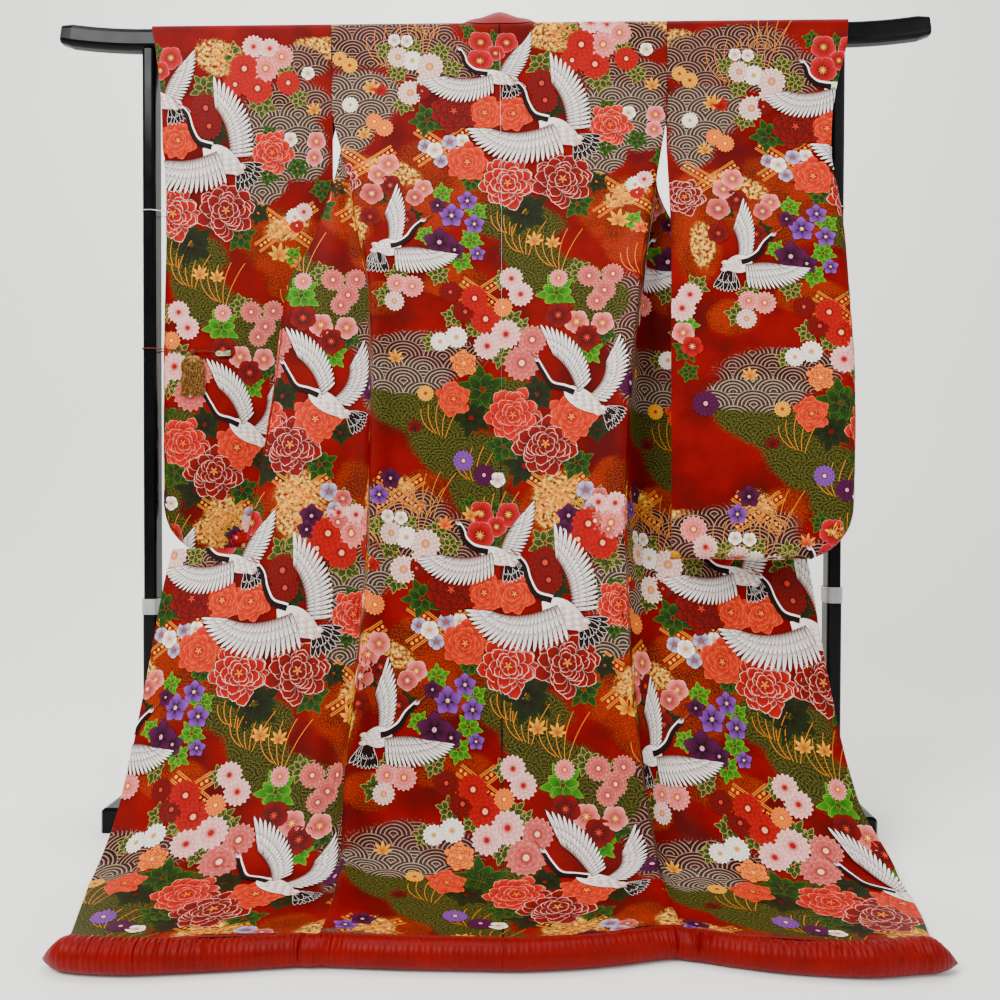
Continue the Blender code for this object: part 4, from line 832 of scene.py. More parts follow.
for side, word in ((-1, "left"), (1, "right")):
    name = f"okumi_{word}"

    def okumi_row(drop):
        curve, stops = side_row(side, drop)
        start, end = stops[1] + SEAM_GAP / 2, stops[2]
        return along(curve, np.linspace(start, end, OKUMI_COLUMNS)), side * start, side * end

    patches[name] = [patch_of(-side, [d for d in DROPS if d >= OKUMI_TOP], okumi_row)]
    cloth = shell(f"{name}_cloth", patches[name][0], REPEATS[name])
    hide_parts(name)

# ---------------------------------------------------------------- the sleeves
# Each is one length folded over the bar, with its two layers sewn together down the outer edge below the cuff
# and along the bottom, its outer corner rounded, and its inner edge open below the shoulder.

# One row a level, going down: how far out its inner and outer edges are, how far forward its middle is, and
# half the way between its two layers at the body and at the cuff.
SleeveLevel = namedtuple("SleeveLevel", "drop inner outer middle half cuff_half")
LEFT_SLEEVE = tuple(map(SleeveLevel._make, (
    (0.000, 0.320, 0.6700, 0.000, 0.0225, 0.0225),
    (0.060, 0.320, 0.6580, 0.000, 0.0225, 0.0225),
    (0.168, 0.319, 0.6475, 0.000, 0.0260, 0.0230),
    (0.320, 0.322, 0.6490, -0.002, 0.0200, 0.0200),
    (0.600, 0.320, 0.6570, -0.006, 0.0190, 0.0180),
    (0.850, 0.316, 0.6600, -0.010, 0.0200, 0.0180),
    (1.025, 0.312, 0.6600, -0.012, 0.0200, 0.0180),
)))
RIGHT_SLEEVE = tuple(map(SleeveLevel._make, (
    (0.000, 0.315, 0.6580, 0.000, 0.0225, 0.0290),
    (0.060, 0.315, 0.6500, 0.000, 0.0225, 0.0290),
    (0.168, 0.313, 0.6240, 0.004, 0.0260, 0.0260),
    (0.260, 0.309, 0.6140, 0.022, 0.0210, 0.0210),
    (0.350, 0.309, 0.6205, 0.050, 0.0170, 0.0180),
    (0.450, 0.308, 0.6250, 0.078, 0.0170, 0.0180),
    (0.650, 0.302, 0.6255, 0.122, 0.0180, 0.0180),
    (0.850, 0.296, 0.6130, 0.172, 0.0190, 0.0180),
    (1.035, 0.292, 0.5990, 0.204, 0.0190, 0.0180),
)))
SLEEVES = {-1: LEFT_SLEEVE, 1: RIGHT_SLEEVE}
SLEEVE_LENGTH = {side: levels[-1].drop for side, levels in SLEEVES.items()}
CUFF_OPEN_TO = 0.24  # the cuff is open this far down, and sewn below
CUFF_SEWN_FROM = CUFF_OPEN_TO + 0.05
OVER_BAR_HALF = 0.0225  # half the way between the layers where they go over the bar
FORWARD_RISE = 0.45  # a sleeve that is pulled forward rises by this share of forward squared over drop
CORNER_RADIUS = 0.090
EDGE_ROUND = 0.020  # how near the sewn edge the two layers start to close
EDGE_MEETING = 0.0012
REAR_INSET = 0.011  # the layer behind the bar starts this much further from the body, below the shoulder
REAR_INSET_FULL = 0.230  # from this drop down


def sleeve_point(side, drop, gap_to_edge, share, far):
    """A sleeve's middle-of-wall point. share runs from the inner edge to near the outer; where it is None,
    gap_to_edge is the distance in from the outer edge. far is -1 before the bar, 1 behind it."""
    full = SLEEVE_LENGTH[side]
    drops, *columns = zip(*SLEEVES[side])
    inner, full_outer, forward, half, cuff_half = (float(eased(zip(drops, c), drop)) for c in columns)
    outer = full_outer
    if drop <= SLEEVE_SEAM_DROP:
        inner = level(side, drop).ridge + 3 * SEAM_GAP
    elif far > 0:
        inner += REAR_INSET * step_up(drop, SLEEVE_SEAM_DROP, REAR_INSET_FULL)
    corner = drop - (full - CORNER_RADIUS)
    if corner > 0:
        outer -= CORNER_RADIUS - math.sqrt(max(CORNER_RADIUS**2 - corner**2, 0.0))
    out = outer - gap_to_edge if share is None else inner + share * (outer - EDGE_ROUND * 1.6 - inner)
    to_bottom, to_side = full - drop, outer - out
    middle_out = full_outer - CORNER_RADIUS
    if corner > 0 and out > middle_out:
        to_side = CORNER_RADIUS - math.hypot(out - middle_out, corner)
    near = max(min(to_bottom, to_side), 0.0)
    closing = math.sqrt(max(1 - (1 - min(near / EDGE_ROUND, 1.0)) ** 2, 0.0))
    sewn = 1.0 if near == to_bottom else step_up(drop, CUFF_OPEN_TO, CUFF_SEWN_FROM)
    where = (out - inner) / (full_outer - inner)
    half = half * (1 - where) + cuff_half * where
    half = max(half * (1 - sewn + sewn * closing), EDGE_MEETING)
    (y, z), _ = hang(min(drop, SLEEVE_SEAM_DROP))
    if drop > BEHIND_BAR:
        z = z - max(drop - SLEEVE_SEAM_DROP, 0.0) + FORWARD_RISE * forward**2 / max(drop, 0.2)
        y = -forward + far * half
    else:
        spread = 1 + (half / OVER_BAR_HALF - 1) * step_up(drop, OVER_BAR[-1], BEHIND_BAR)
        y = -far * y * spread if far > 0 else y * spread
    return (side * out + float(eased(CENTRE_X, min(drop, 0.45))), y, z)


SLEEVE_COLUMNS = 24
TO_EDGE = (0.024, 0.018, 0.012, 0.008, 0.005, 0.003, 0.0015, 0.0006, 0.0)


def sleeve_patch(side, far):
    full = SLEEVE_LENGTH[side]
    stops = (OVER_BAR[-1], BEHIND_BAR, SLEEVE_SEAM_DROP, full - CORNER_RADIUS, full - TO_EDGE[0])
    drops = OVER_BAR[:-1] + drops_through(stops, CLOTH_STEP)
    drops += tuple(round(full - d, 6) for d in TO_EDGE[1:])

    def row(drop):
        shares = np.linspace(0, 1, SLEEVE_COLUMNS)
        points = [sleeve_point(side, drop, None, share, far) for share in shares]
        points += [sleeve_point(side, drop, gap, None, far) for gap in TO_EDGE]
        run = runs(points)[-1]
        inner = level(side, min(drop, SLEEVE_SEAM_DROP)).ridge
        even = along(np.array(points), np.linspace(0, run, len(points)))
        return even, side * inner, side * (inner + run)

    return patch_of(side * far, drops, row)


for side, word in ((-1, "left"), (1, "right")):
    name = f"sleeve_{word}"
    shown, hidden = sleeve_patch(side, -1), sleeve_patch(side, 1)
    patches[name] = [shown, hidden]
    upturned = Patch(*(f[::-1] for f in hidden))
    cloth = shell(f"{name}_cloth", joined([upturned, shown], 0), REPEATS[name])
    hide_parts(name)

# ---------------------------------------------------------------- the collar
# A doubled band of the same brocade, sewn round the neck and down both front edges. It stands over the bar at
# the nape and falls behind it.

COLLAR_WIDTH = 0.075
COLLAR_WALL = 0.004
COLLAR_COLUMNS = 7
COLLAR_CLEAR = 0.0060  # the middle of the collar's wall from the bar, where it goes over
SEAM_CLEAR = 0.003  # the same at its seam
CLEARING = 6  # points of a strip from the one to the other
# It is sewn to the neck cut and then down the front's edge, stands over the bar and falls behind it: where
# the crown and the free edge are, from the centre seam, for the seam's places one after the other.
Fan = namedtuple("Fan", "crown_x crown_y crown_z edge_x edge_y edge_z")
NECK_FAN = (
    Fan(0.000, -0.002, 1.5260, 0.0000, 0.0380, 1.470),
    Fan(0.034, -0.002, 1.5165, 0.0150, 0.0385, 1.466),
    Fan(0.044, 0.000, 1.5140, 0.0240, 0.0390, 1.461),
    Fan(0.052, 0.002, 1.5120, 0.0310, 0.0395, 1.455),
    Fan(0.059, 0.005, 1.5100, 0.0370, 0.0400, 1.448),
    Fan(0.066, 0.009, 1.5080, 0.0410, 0.0400, 1.440),
    Fan(0.072, 0.014, 1.5065, 0.0430, 0.0400, 1.431),
)
FRONT_FAN = (
    Fan(0.076, 0.018, 1.5045, 0.0430, 0.0395, 1.424),
    Fan(0.077, 0.021, 1.5030, 0.0420, 0.0395, 1.418),
    Fan(0.078, 0.024, 1.4970, 0.0410, 0.0390, 1.412),
    Fan(0.078, 0.0260, 1.4910, 0.0400, 0.0385, 1.406),
    Fan(0.078, 0.0275, 1.4850, 0.0390, 0.0380, 1.400),
    Fan(0.077, 0.0285, 1.4770, 0.0380, 0.0375, 1.394),
    Fan(0.070, 0.0280, 1.4280, 0.0300, 0.0350, 1.368),
)
NECK_SHARES = (0.0, 0.12, 0.16, 0.19, 0.22, 0.25, 0.28)  # of the back's half width, at the neck's fans
FRONT_DROPS = (0.0035, 0.007, 0.012, 0.017, 0.022, 0.028, 0.060)  # at the front's
STRAIGHT_STEP = 0.050
REFINED = 3  # the finer strips to each coarse one


def clear_of_bar(point, clear):
    """The point moved away from the bar, in its cross section, where it is nearer than this."""
    x, y, z = point
    off_y = max(abs(y) - (BAR_DEPTH / 2 - BAR_ROUND), 0.0) * (1 if y >= 0 else -1)
    middle = BAR_TOP - BAR_HEIGHT / 2
    off_z = max(abs(z - middle) - (BAR_HEIGHT / 2 - BAR_ROUND), 0.0) * (1 if z >= middle else -1)
    away = math.hypot(off_y, off_z)
    if 0 < away < BAR_ROUND + clear:
        grow = (BAR_ROUND + clear) / away - 1
        y, z = y + off_y * grow, z + off_z * grow
    return np.array([x, y, z])


def collar_strip(side, seam, fan):
    x0 = CENTRE_X[0][1]
    crown = (side * fan.crown_x + x0, fan.crown_y, fan.crown_z)
    edge = (side * fan.edge_x + x0, fan.edge_y, fan.edge_z)
    low = 0.5 * (np.array(crown) + edge) + np.array([0.0, 0.003, 0.0])
    route = smooth([seam, crown, low, edge], ROW_STEPS)
    for k, point in enumerate(route[1:]):
        share = min(k / CLEARING, 1)
        route[k + 1] = clear_of_bar(point, COLLAR_CLEAR * share + (1 - share) * SEAM_CLEAR)
    return along(route, np.linspace(0, length(route), COLLAR_COLUMNS))


def collar_strips(side):
    """Strips of points from the collar's seam to its free edge: round the neck, then down the front."""
    lift = (COLLAR_WALL - WALL) / 2 + SEAM_GAP
    strips = []
    for share, fan in zip(NECK_SHARES, NECK_FAN):
        drop = max(neck(share * level(side, 0.0).ridge) - 0.0018, 0.0)
        curve, stops = side_row(side, drop)
        normal = hang(drop)[1]
        seam = along(curve, share * stops[0]) + lift * np.array([0.0, normal[0], normal[1]])
        strips.append(collar_strip(side, seam, fan))
    for drop, fan in zip(FRONT_DROPS, FRONT_FAN):
        curve, _ = upper_front_row(side, drop)
        normal = hang(drop)[1]
        out = -normal[0] if drop < BEHIND_BAR else 0.0
        seam = curve[-1] + np.array([-side * SEAM_GAP * 4, lift * out, lift * normal[1]])
        strips.append(collar_strip(side, seam, fan))
    for drop in drops_through((0.110, OKUMI_TOP - 0.010), STRAIGHT_STEP):
        curve = upper_front_row(side, drop)[0] if drop < SIDE_SEAM_TOP else turned_row(side, drop)
        run = length(curve)
        end, heading = along(curve, run), headings(curve, run - 0.002)
        lag = 0.042 * (1 - step_up(drop, 0.08, 0.30))
        strips.append([end + heading * (SEAM_GAP * 2 + COLLAR_WIDTH * k) - np.array([0, 0, lag * k])
                       for k in np.linspace(0, 1, COLLAR_COLUMNS)])
    return strips


def refined(grid, times):
    """A coarse grid of points made finer by smooth curves both ways."""
    rows = [smooth(row, times) for row in np.asarray(grid)]
    return np.stack([smooth(column, times) for column in np.stack(rows, axis=1)], axis=1)


collar_grid = refined(collar_strips(-1)[::-1] + collar_strips(1)[1:], REFINED)
collar_grid[..., 1] += BAR_Y
collar_normals = np.cross(np.gradient(collar_grid, axis=1), np.gradient(collar_grid, axis=0))
collar_normals /= np.linalg.norm(collar_normals, axis=2, keepdims=True)
collar_across, collar_down = np.meshgrid(np.linspace(0.0, 0.1, collar_grid.shape[1]),
                                         np.linspace(-1.08, 1.08, len(collar_grid)))
patches["collar"] = [Patch(collar_grid, collar_normals, collar_across, collar_down)]
collar_cloth = shell("collar_cloth", patches["collar"][0], REPEATS["collar"], wall=COLLAR_WALL)
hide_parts("collar")

# ---------------------------------------------------------------- the padded hem
# The lining's edge, stuffed with wadding into a roll of red satin that carries the train along the floor. It
# goes on from panel to panel, and both ends are rounded off at the garment's edges.

FUKI_RADIUS = 0.0200
FUKI_AHEAD = 0.0178  # from the hem's edge to the middle of the roll
FUKI_FULLER = 0.13  # it is stuffed this much thicker towards its ends, from the first place to the second
FUKI_FULLER_FROM = (0.36, 0.50)
FUKI_FULLER_AHEAD = 1.6  # how much further ahead the middle goes for what the radius gains
FUKI_POINT = 0.042  # the length over which its end tapers
FUKI_BEYOND = 0.022
FUKI_POWER = 1.9
FUKI_TIP_RISE = 0.45
FUKI_FLAT = 0.966  # its underside is flat, this share of the radius below the middle
FUKI_STEP = 0.0018
FUKI_SIDES = 40
TIP_STEPS = 17
FUKI_CREASE = math.radians(60)
PUCKERS = ((0.5, 870.0, 0.0), (0.3, 1330.0, 1.0), (0.3, 410.0, 2.0))  # share, rate along it and start
Gather = namedtuple("Gather", "across half depth")
GATHERS = (
    Gather(-0.52, 0.05, 0.0011), Gather(-0.44, 0.06, 0.0013), Gather(-0.36, 0.04, 0.0010),
    Gather(-0.24, 0.06, 0.0015), Gather(-0.10, 0.05, 0.0006), Gather(0.02, 0.04, 0.0007),
    Gather(0.13, 0.05, 0.0006), Gather(0.25, 0.07, 0.0016), Gather(0.38, 0.05, 0.0009),
    Gather(0.46, 0.05, 0.0012), Gather(0.56, 0.05, 0.0013),
)

satin = Finish("red_satin", 0.46, Specular_IOR_Level=0.10)
satin.colour(satin.mix(satin.noise(22.0, 3.0), dye(158, 0, 22), dye(186, 0, 30)))
satin.bump(satin.noise(1400.0, 2.0), 0.05)


def tube_faces(start, rings, sides):
    """The faces between rings of points, one ring after the other from the start's place in the list."""
    around = [(i, (i + 1) % sides) for i in range(sides)]
    rows = range(start, start + (rings - 1) * sides, sides)
    return [(row + i, row + j, row + sides + j, row + sides + i) for row in rows for i, j in around]


def hem_roll(side, order):
    """The middles, headings, girths and signed lengths along the hem of one panel's length of the roll."""
    curve, stops = side_row(side, HEM_DROP)
    start, end = (0.0, *stops)[order], stops[order]
    count = round((end - start) / FUKI_STEP)
    places = np.linspace(start, end, count)
    beyond = np.zeros(count)
    if order == 2:
        tip = FUKI_BEYOND * np.sin(np.linspace(0, math.pi / 2, TIP_STEPS + 1)[1:])
        places = np.append(places, np.full(len(tip), end))
        beyond = np.append(beyond, tip)
    heads = headings(curve, places)
    heads[:, 2] = 0.0
    heads /= np.linalg.norm(heads, axis=1, keepdims=True)
    points = along(curve, places) + heads * beyond[:, None]
    points[0] += heads[0] * SEAM_GAP / 2
    if order < 2:
        points[-1] -= heads[-1] * SEAM_GAP / 2
    across = np.abs(points[:, 0] - float(eased(CENTRE_X, HEM_DROP)))
    fuller = FUKI_FULLER * np.array([step_up(x, *FUKI_FULLER_FROM) for x in across])
    to_tip = stops[-1] + FUKI_BEYOND + 0.0005 - places - beyond
    taper = 1 - (1 - np.clip(to_tip / FUKI_POINT, 0.0, 1.0)) ** FUKI_POWER
    forward = np.stack([side * heads[:, 1], -side * heads[:, 0], 0 * heads[:, 0]], axis=1)
    middles = points + forward * (FUKI_AHEAD + FUKI_FULLER_AHEAD * FUKI_RADIUS * fuller)[:, None]
    middles[:, 1] += BAR_Y
    middles[:, 2] = FUKI_RADIUS * FUKI_FLAT * (1 + fuller) * (taper + FUKI_TIP_RISE * (1 - taper))
    return middles, forward, (1 + fuller) * taper, side * (places + beyond)


def padded_hem(name, side, order):
    middles, forward, girth, across = hem_roll(side, order)
    count, sides = len(middles), FUKI_SIDES
    angles = np.linspace(0, 2 * math.pi, sides, endpoint=False)
    fine = sum(share * np.sin(across * rate + begun) for share, rate, begun in PUCKERS)
    gather = sum(g.depth * np.exp(-((across - g.across) / g.half) ** 2) for g in GATHERS) + 0.0003
    upper = np.clip(0.35 + 0.65 * np.sin(angles + 0.5), 0.0, 1.0)
    vertices = []
    for k, middle in enumerate(middles):
        waver = np.sin(0.8 * angles + 1.5 * math.sin(across[k] * 95.0))
        folds = gather[k] * (fine[k] + 0.25 * waver) * upper * min(girth[k], 1.0)
        radius = FUKI_RADIUS * girth[k] + folds - 0.0006
        up = np.maximum(radius * np.sin(angles), -middle[2] + 0.0002)
        ahead = forward[k] * (radius * np.cos(angles))[:, None]
        vertices += (middle + ahead + np.array([0, 0, 1]) * up[:, None]).tolist()
    faces = tube_faces(0, count, sides)
    faces += [tuple(reversed(range(sides))), tuple(range((count - 1) * sides, count * sides))]
    mesh = new_mesh(name, vertices, faces, satin)
    mended(mesh, faces_outwards)
    mesh.shade_smooth()
    mesh.set_sharp_from_angle(angle=FUKI_CREASE)
    return standing(mesh)


for side, word in ((-1, "left"), (1, "right")):
    for order, piece in enumerate(("back", "front", "okumi")):
        name = f"fuki_{piece}_{word}"
        roll = padded_hem(f"{name}_roll", side, order)
        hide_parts(name)

# ---------------------------------------------------------------- the figures on the brocade
# Cranes, flowers and leaves in floats of silk that stand a little off the ground weave, and a lattice and
# grasses in gold thread. All are drawn in centimetres across and down one repeat of the design.


def rounded_end(t, power):
    return np.sqrt(np.maximum(1 - t**power, 0.0))


# How wide each shape is along its length, as a share of its width.
SHAPES = {
    "petal": lambda t: np.minimum(1.0, 0.35 + 1.1 * t) * rounded_end(np.maximum(t, 0.02), 5),
    "feather": lambda t: np.minimum(1.0, 0.55 + 1.6 * t) * rounded_end(t, 4),
    "leaf": lambda t: np.sin(math.pi * np.clip(t, 0.0, 1.0) ** 0.8) ** 0.8 + 0.02,
    "line": lambda t: np.ones_like(t),
    "disc": lambda t: rounded_end(2 * t - 1, 2),
}
ONE_ABOVE = 2.5e-5  # how far a strip lies over the one before it, in metres
NEXT_ROW = 1.2e-4  # how far a row of petals or feathers lies over the last
WITH_SPINE = 1.2  # a wider strip than this has points down its middle too
CLOSER = 0.35  # how much closer a strip's points are towards its end
COARSE = 0.6  # a hidden figure's steps, as a share of a shown one's


def point_at(x, y, turn, far):
    """The place this far from (x, y), in a heading in degrees."""
    a = math.radians(turn)
    return x + far * math.cos(a), y + far * math.sin(a)


class Drawing:
    """Strips of small quads with a colour at each point. A strip lies over the one before it, three to a
    cycle, and a row of petals or feathers over the last row."""

    def __init__(self, fine):
        self.points, self.anchors, self.lifts, self.colours, self.quads, self.gold = [], [], [], [], [], []
        self.count = 0
        self.fine = fine

    def start(self, x, y, lift):
        """The next figure's place and its height off the cloth, in metres."""
        self.anchor, self.lift, self.turned = (x, y), lift, 0

    def row_above(self):
        self.lift += NEXT_ROW

    def strip(self, columns, colours, lift, gold=False, apart=()):
        """A strip through these columns of points; apart are the places where no quad joins two columns."""
        rows = np.stack(columns, axis=1)
        n, m = rows.shape[:2]
        index = np.arange(n * m).reshape(n, m) + self.count
        quads = np.stack([index[:-1, :-1], index[:-1, 1:], index[1:, 1:], index[1:, :-1]], axis=-1)
        quads = np.delete(quads, apart, axis=1).reshape(-1, 4)
        self.quads.append(quads)
        self.gold.append(np.full(len(quads), int(gold)))
        self.points.append(rows.reshape(-1, 2))
        self.anchors.append(np.tile(self.anchor, (n * m, 1)))
        self.colours.append(np.broadcast_to(colours, (n, m, 3)).reshape(-1, 3))
        self.lifts.append(np.full(n * m, lift))
        self.count += n * m

    def blade(self, x, y, turn, long, wide, base, tip, shape="petal", bend=0.0, rim=None, rim_wide=0.06,
              steps=5, gold=False):
        """A petal, feather or leaf from (x, y), heading turn degrees round from across towards down. Its rim
        is a strip of another colour along both sides and past the end."""
        if not self.fine:
            rim, steps = None, max(2, round(COARSE * steps))
        t = np.linspace(0, 1, steps + 1)
        if shape != "line":
            t = t * (1 + CLOSER - CLOSER * t)
        heading = np.radians(turn + bend * (t - 0.5))
        move = np.stack([np.cos(heading), np.sin(heading)], axis=1)
        aside = np.stack([-np.sin(heading), np.cos(heading)], axis=1)
        middle = np.zeros((len(t), 2))
        middle[1:] = np.cumsum(0.5 * (move[1:] + move[:-1]) * np.diff(t)[:, None], axis=0)
        half = (wide / 2 * SHAPES[shape](t))[:, None] * aside
        spine = np.array([x, y]) + middle * long
        shade = (np.asarray(base) + (np.asarray(tip) - np.asarray(base)) * t[:, None])[:, None]
        columns = [spine - half, spine, spine + half] if wide > WITH_SPINE else [spine - half, spine + half]
        colours, count, apart = shade, len(columns), ()
        if rim is not None:
            rise = rim_wide * np.concatenate([np.zeros(len(t) - 1), [1.0]])[:, None] * move
            outer = half + rim_wide * aside
            columns = [spine - outer + rise, spine - half, *columns, spine + half, spine + outer + rise]
            shows = t[:, None, None] ** 2 if shape == "petal" else 1.0
            edge = np.asarray(base) + (np.asarray(rim) - np.asarray(base)) * shows * np.ones((len(t), 2, 1))
            colours = np.concatenate([edge, np.broadcast_to(shade, (len(t), count, 3)), edge], axis=1)
            apart = (1, count + 1)
        self.turned += 1
        self.strip(columns, colours, self.lift + ONE_ABOVE * (self.turned % 3), gold, apart)

    def ring(self, x, y, count, start, near, far, wide, base, tip, **more):
        """Petals round a centre, from near to far."""
        for turn in (start + 360 * k / count for k in range(count)):
            self.blade(*point_at(x, y, turn, near), turn, far - near, wide, base, tip, **more)

    def disc(self, x, y, radius, colour, gold=False):
        self.blade(x - radius, y, 0, 2 * radius, 2 * radius, colour, colour, shape="disc", steps=6, gold=gold)


INK = dye(96, 24, 20)
COAL = dye(16, 14, 18)
WHITE = dye(254, 251, 247)
GOLD_THREAD = dye(236, 184, 92)
# A look is the petals' base, their tips, their rims and the heart, which leaves don't have.
CRIMSON = (dye(110, 0, 10), dye(180, 8, 16), dye(84, 0, 8), dye(226, 120, 90))
SCARLET = (dye(160, 6, 6), dye(216, 34, 20), dye(190, 60, 40), dye(250, 206, 180))
PINK = (dye(196, 40, 56), dye(246, 186, 180), dye(255, 236, 230), dye(252, 226, 150))
DUSTY = (dye(176, 60, 66), dye(232, 164, 158), dye(250, 214, 206), dye(250, 224, 200))
BLOSSOM = (dye(214, 86, 96), dye(250, 222, 216), dye(255, 246, 242), dye(200, 30, 36))
SNOW = (dye(226, 206, 190), dye(255, 252, 246), dye(158, 96, 84), dye(232, 190, 80))
BANDED = (dye(196, 12, 22), dye(252, 238, 228), dye(134, 12, 18), dye(250, 200, 90))
YELLOW = (dye(214, 146, 24), dye(248, 214, 92), dye(150, 92, 18), dye(196, 92, 20))
TANGERINE = (dye(222, 92, 26), dye(248, 190, 110), dye(168, 60, 16), dye(252, 232, 130))
CORAL = (dye(150, 6, 12), dye(226, 70, 50), dye(252, 196, 176), dye(240, 160, 70))
SHELL = (dye(150, 24, 8), dye(232, 110, 66), dye(244, 160, 110), dye(244, 190, 120))
FLAME = (dye(140, 2, 10), dye(214, 40, 32), dye(255, 232, 220), dye(244, 176, 76))
GARNET = (dye(100, 0, 10), dye(186, 8, 22), dye(255, 222, 212), dye(240, 176, 90))
MAGENTA = (dye(160, 8, 44), dye(222, 64, 92), dye(248, 190, 196), dye(248, 214, 130))
PLUM = (dye(86, 16, 74), dye(150, 62, 136), dye(56, 8, 48), dye(236, 190, 210))
LILAC = (dye(120, 66, 142), dye(186, 142, 206), dye(84, 38, 100), dye(246, 226, 160))
MIST = (dye(120, 116, 160), dye(226, 216, 226), dye(96, 76, 110), dye(214, 150, 90))
PALE_EDGED = (dye(84, 116, 52), dye(126, 146, 78), dye(226, 216, 160))
GREEN = (dye(18, 84, 34), dye(60, 140, 56), dye(150, 178, 96))
DARK_GREEN = (dye(14, 62, 30), dye(44, 110, 46), dye(90, 128, 66))
BRIGHT = (dye(46, 140, 24), dye(120, 190, 52), dye(196, 214, 120))
CHRYSANTHEMUM_ROWS = ((16, 1.0, 0.35), (12, 0.74, 0.22), (8, 0.50, 0.12))  # petals, reach and start
# Petals, reach, start, width and first heading.
PEONY_ROWS = ((13, 1.0, 0.42, 0.50, 0), (12, 0.84, 0.32, 0.45, 14), (10, 0.66, 0.20, 0.42, 5),
              (8, 0.48, 0.08, 0.38, 20), (5, 0.30, 0.02, 0.32, 40))


def chrysanthemum(d, x, y, radius, look):
    """Three rings of narrow petals, the two outer ones with rims."""
    base, tip, rim, heart = look
    for k, (count, far, near) in enumerate(CHRYSANTHEMUM_ROWS):
        wide = 2 * math.pi * radius * far / count * 0.92
        d.ring(x, y, count, 9 * k, near * radius, far * radius, wide, base, tip, rim=rim if k < 2 else None,
               rim_wide=0.035, steps=3)
        d.row_above()
    d.disc(x, y, 0.17 * radius, heart)


def peony(d, x, y, radius, look):
    """Five rows of ruffled petals, unevenly turned and long, and a star of stamens."""
    base, tip, rim, heart = look
    for count, far, near, wide, start in PEONY_ROWS:
        for k in range(count):
            turn = start + 360 * k / count + 9 * math.sin(3.1 * k + x)
            out = far * radius * (1 + 0.12 * math.sin(2.3 * k + y))
            d.blade(*point_at(x, y, turn, near * radius), turn, out - near * radius, wide * radius, base, tip,
                    rim=rim, rim_wide=0.10, bend=20 * math.sin(k + x), steps=4)
        d.row_above()
    for k in range(5):
        d.blade(x, y, 72 * k + 20, 0.16 * radius, 0.07 * radius, heart, heart, steps=3)


def camellia(d, x, y, radius, look):
    """Five broad petals round a crown of stamens."""
    base, tip, rim, heart = look
    d.ring(x, y, 5, 18, 0.08 * radius, radius, 1.02 * radius, base, tip, rim=rim)
    d.row_above()
    d.ring(x, y, 9, 0, 0.0, 0.34 * radius, 0.05 * radius, heart, heart, steps=2)
    d.row_above()
    d.disc(x, y, 0.13 * radius, heart)


def bellflower(d, x, y, radius, look):
    """Five pointed petals with a star of veins between them."""
    base, tip, rim, heart = look
    d.ring(x, y, 5, -90, 0.05 * radius, radius, 0.86 * radius, base, tip, shape="leaf", rim=rim)
    d.row_above()
    d.ring(x, y, 5, -54, 0.0, 0.5 * radius, 0.10 * radius, rim, rim, shape="leaf", steps=3)
    d.row_above()
    d.disc(x, y, 0.14 * radius, heart)


def maple(d, x, y, radius, look):
    """A leaf of seven lobes, the middle ones the longest."""
    base, tip, rim, _ = look
    for k, reach in enumerate((0.55, 0.85, 1.0, 1.05, 1.0, 0.85, 0.55)):
        turn = -90 + (k - 3) * 42 + 20 * math.sin(x)
        d.blade(x, y, turn, reach * radius, 0.34 * radius, base, tip, shape="leaf", rim=rim, rim_wide=0.04)


def leaves(d, x, y, radius, look):
    """A spray of five leaves of three lobes each, with paler rims."""
    base, tip, rim = look
    for turn in (72 * k + 50 * math.sin(x + 2 * y) for k in range(5)):
        stalk = point_at(x, y, turn, 0.12 * radius)
        for side_turn, share in ((-38, 0.68), (38, 0.68), (0, 1.0)):
            d.blade(*stalk, turn + side_turn, share * radius, 0.42 * radius, base, tip, shape="leaf", rim=rim,
                    rim_wide=0.05, steps=4)


def grass(d, x, y, radius, look):
    """Five bent stalks of gold thread, each a little longer than the last."""
    for k in range(5):
        d.blade(x + 0.5 * k, y + 0.2 * k, -120 + 14 * k, radius * (1 + 0.12 * k), 0.11, GOLD_THREAD,
                GOLD_THREAD, shape="line", bend=70 - 12 * k, steps=12, gold=True)


LATTICE_LINES = (-0.95, -0.65, 0.65, 0.95)
LATTICE_RING = 0.30
LATTICE_RING_STEP = 0.9
RING_GOLD = dye(250, 196, 104)


def lattice(d, x, y, radius, look):
    """Two slanting bands that cross, each of two double gold lines with discs of gold between."""
    for slant in (35, 145):
        a = math.radians(slant)
        along_x, along_y, off_x, off_y = math.cos(a), math.sin(a), -math.sin(a), math.cos(a)
        for off in LATTICE_LINES:
            start = (x - radius * along_x + off * off_x, y - radius * along_y + off * off_y)
            d.blade(*start, slant, 2 * radius, 0.16, GOLD_THREAD, GOLD_THREAD, shape="line", steps=14,
                    gold=True)
        for k in range(int(2 * radius / LATTICE_RING_STEP)):
            run = -radius + LATTICE_RING_STEP / 2 + LATTICE_RING_STEP * k
            d.disc(x + run * along_x, y + run * along_y, LATTICE_RING, RING_GOLD, gold=True)


Wing = namedtuple(
    "Wing", "root_x root_y wrist_x wrist_y arch first last long_root long_middle long_tip feathers"
)
Crane = namedtuple("Crane", "x y neck beak body tail wings")
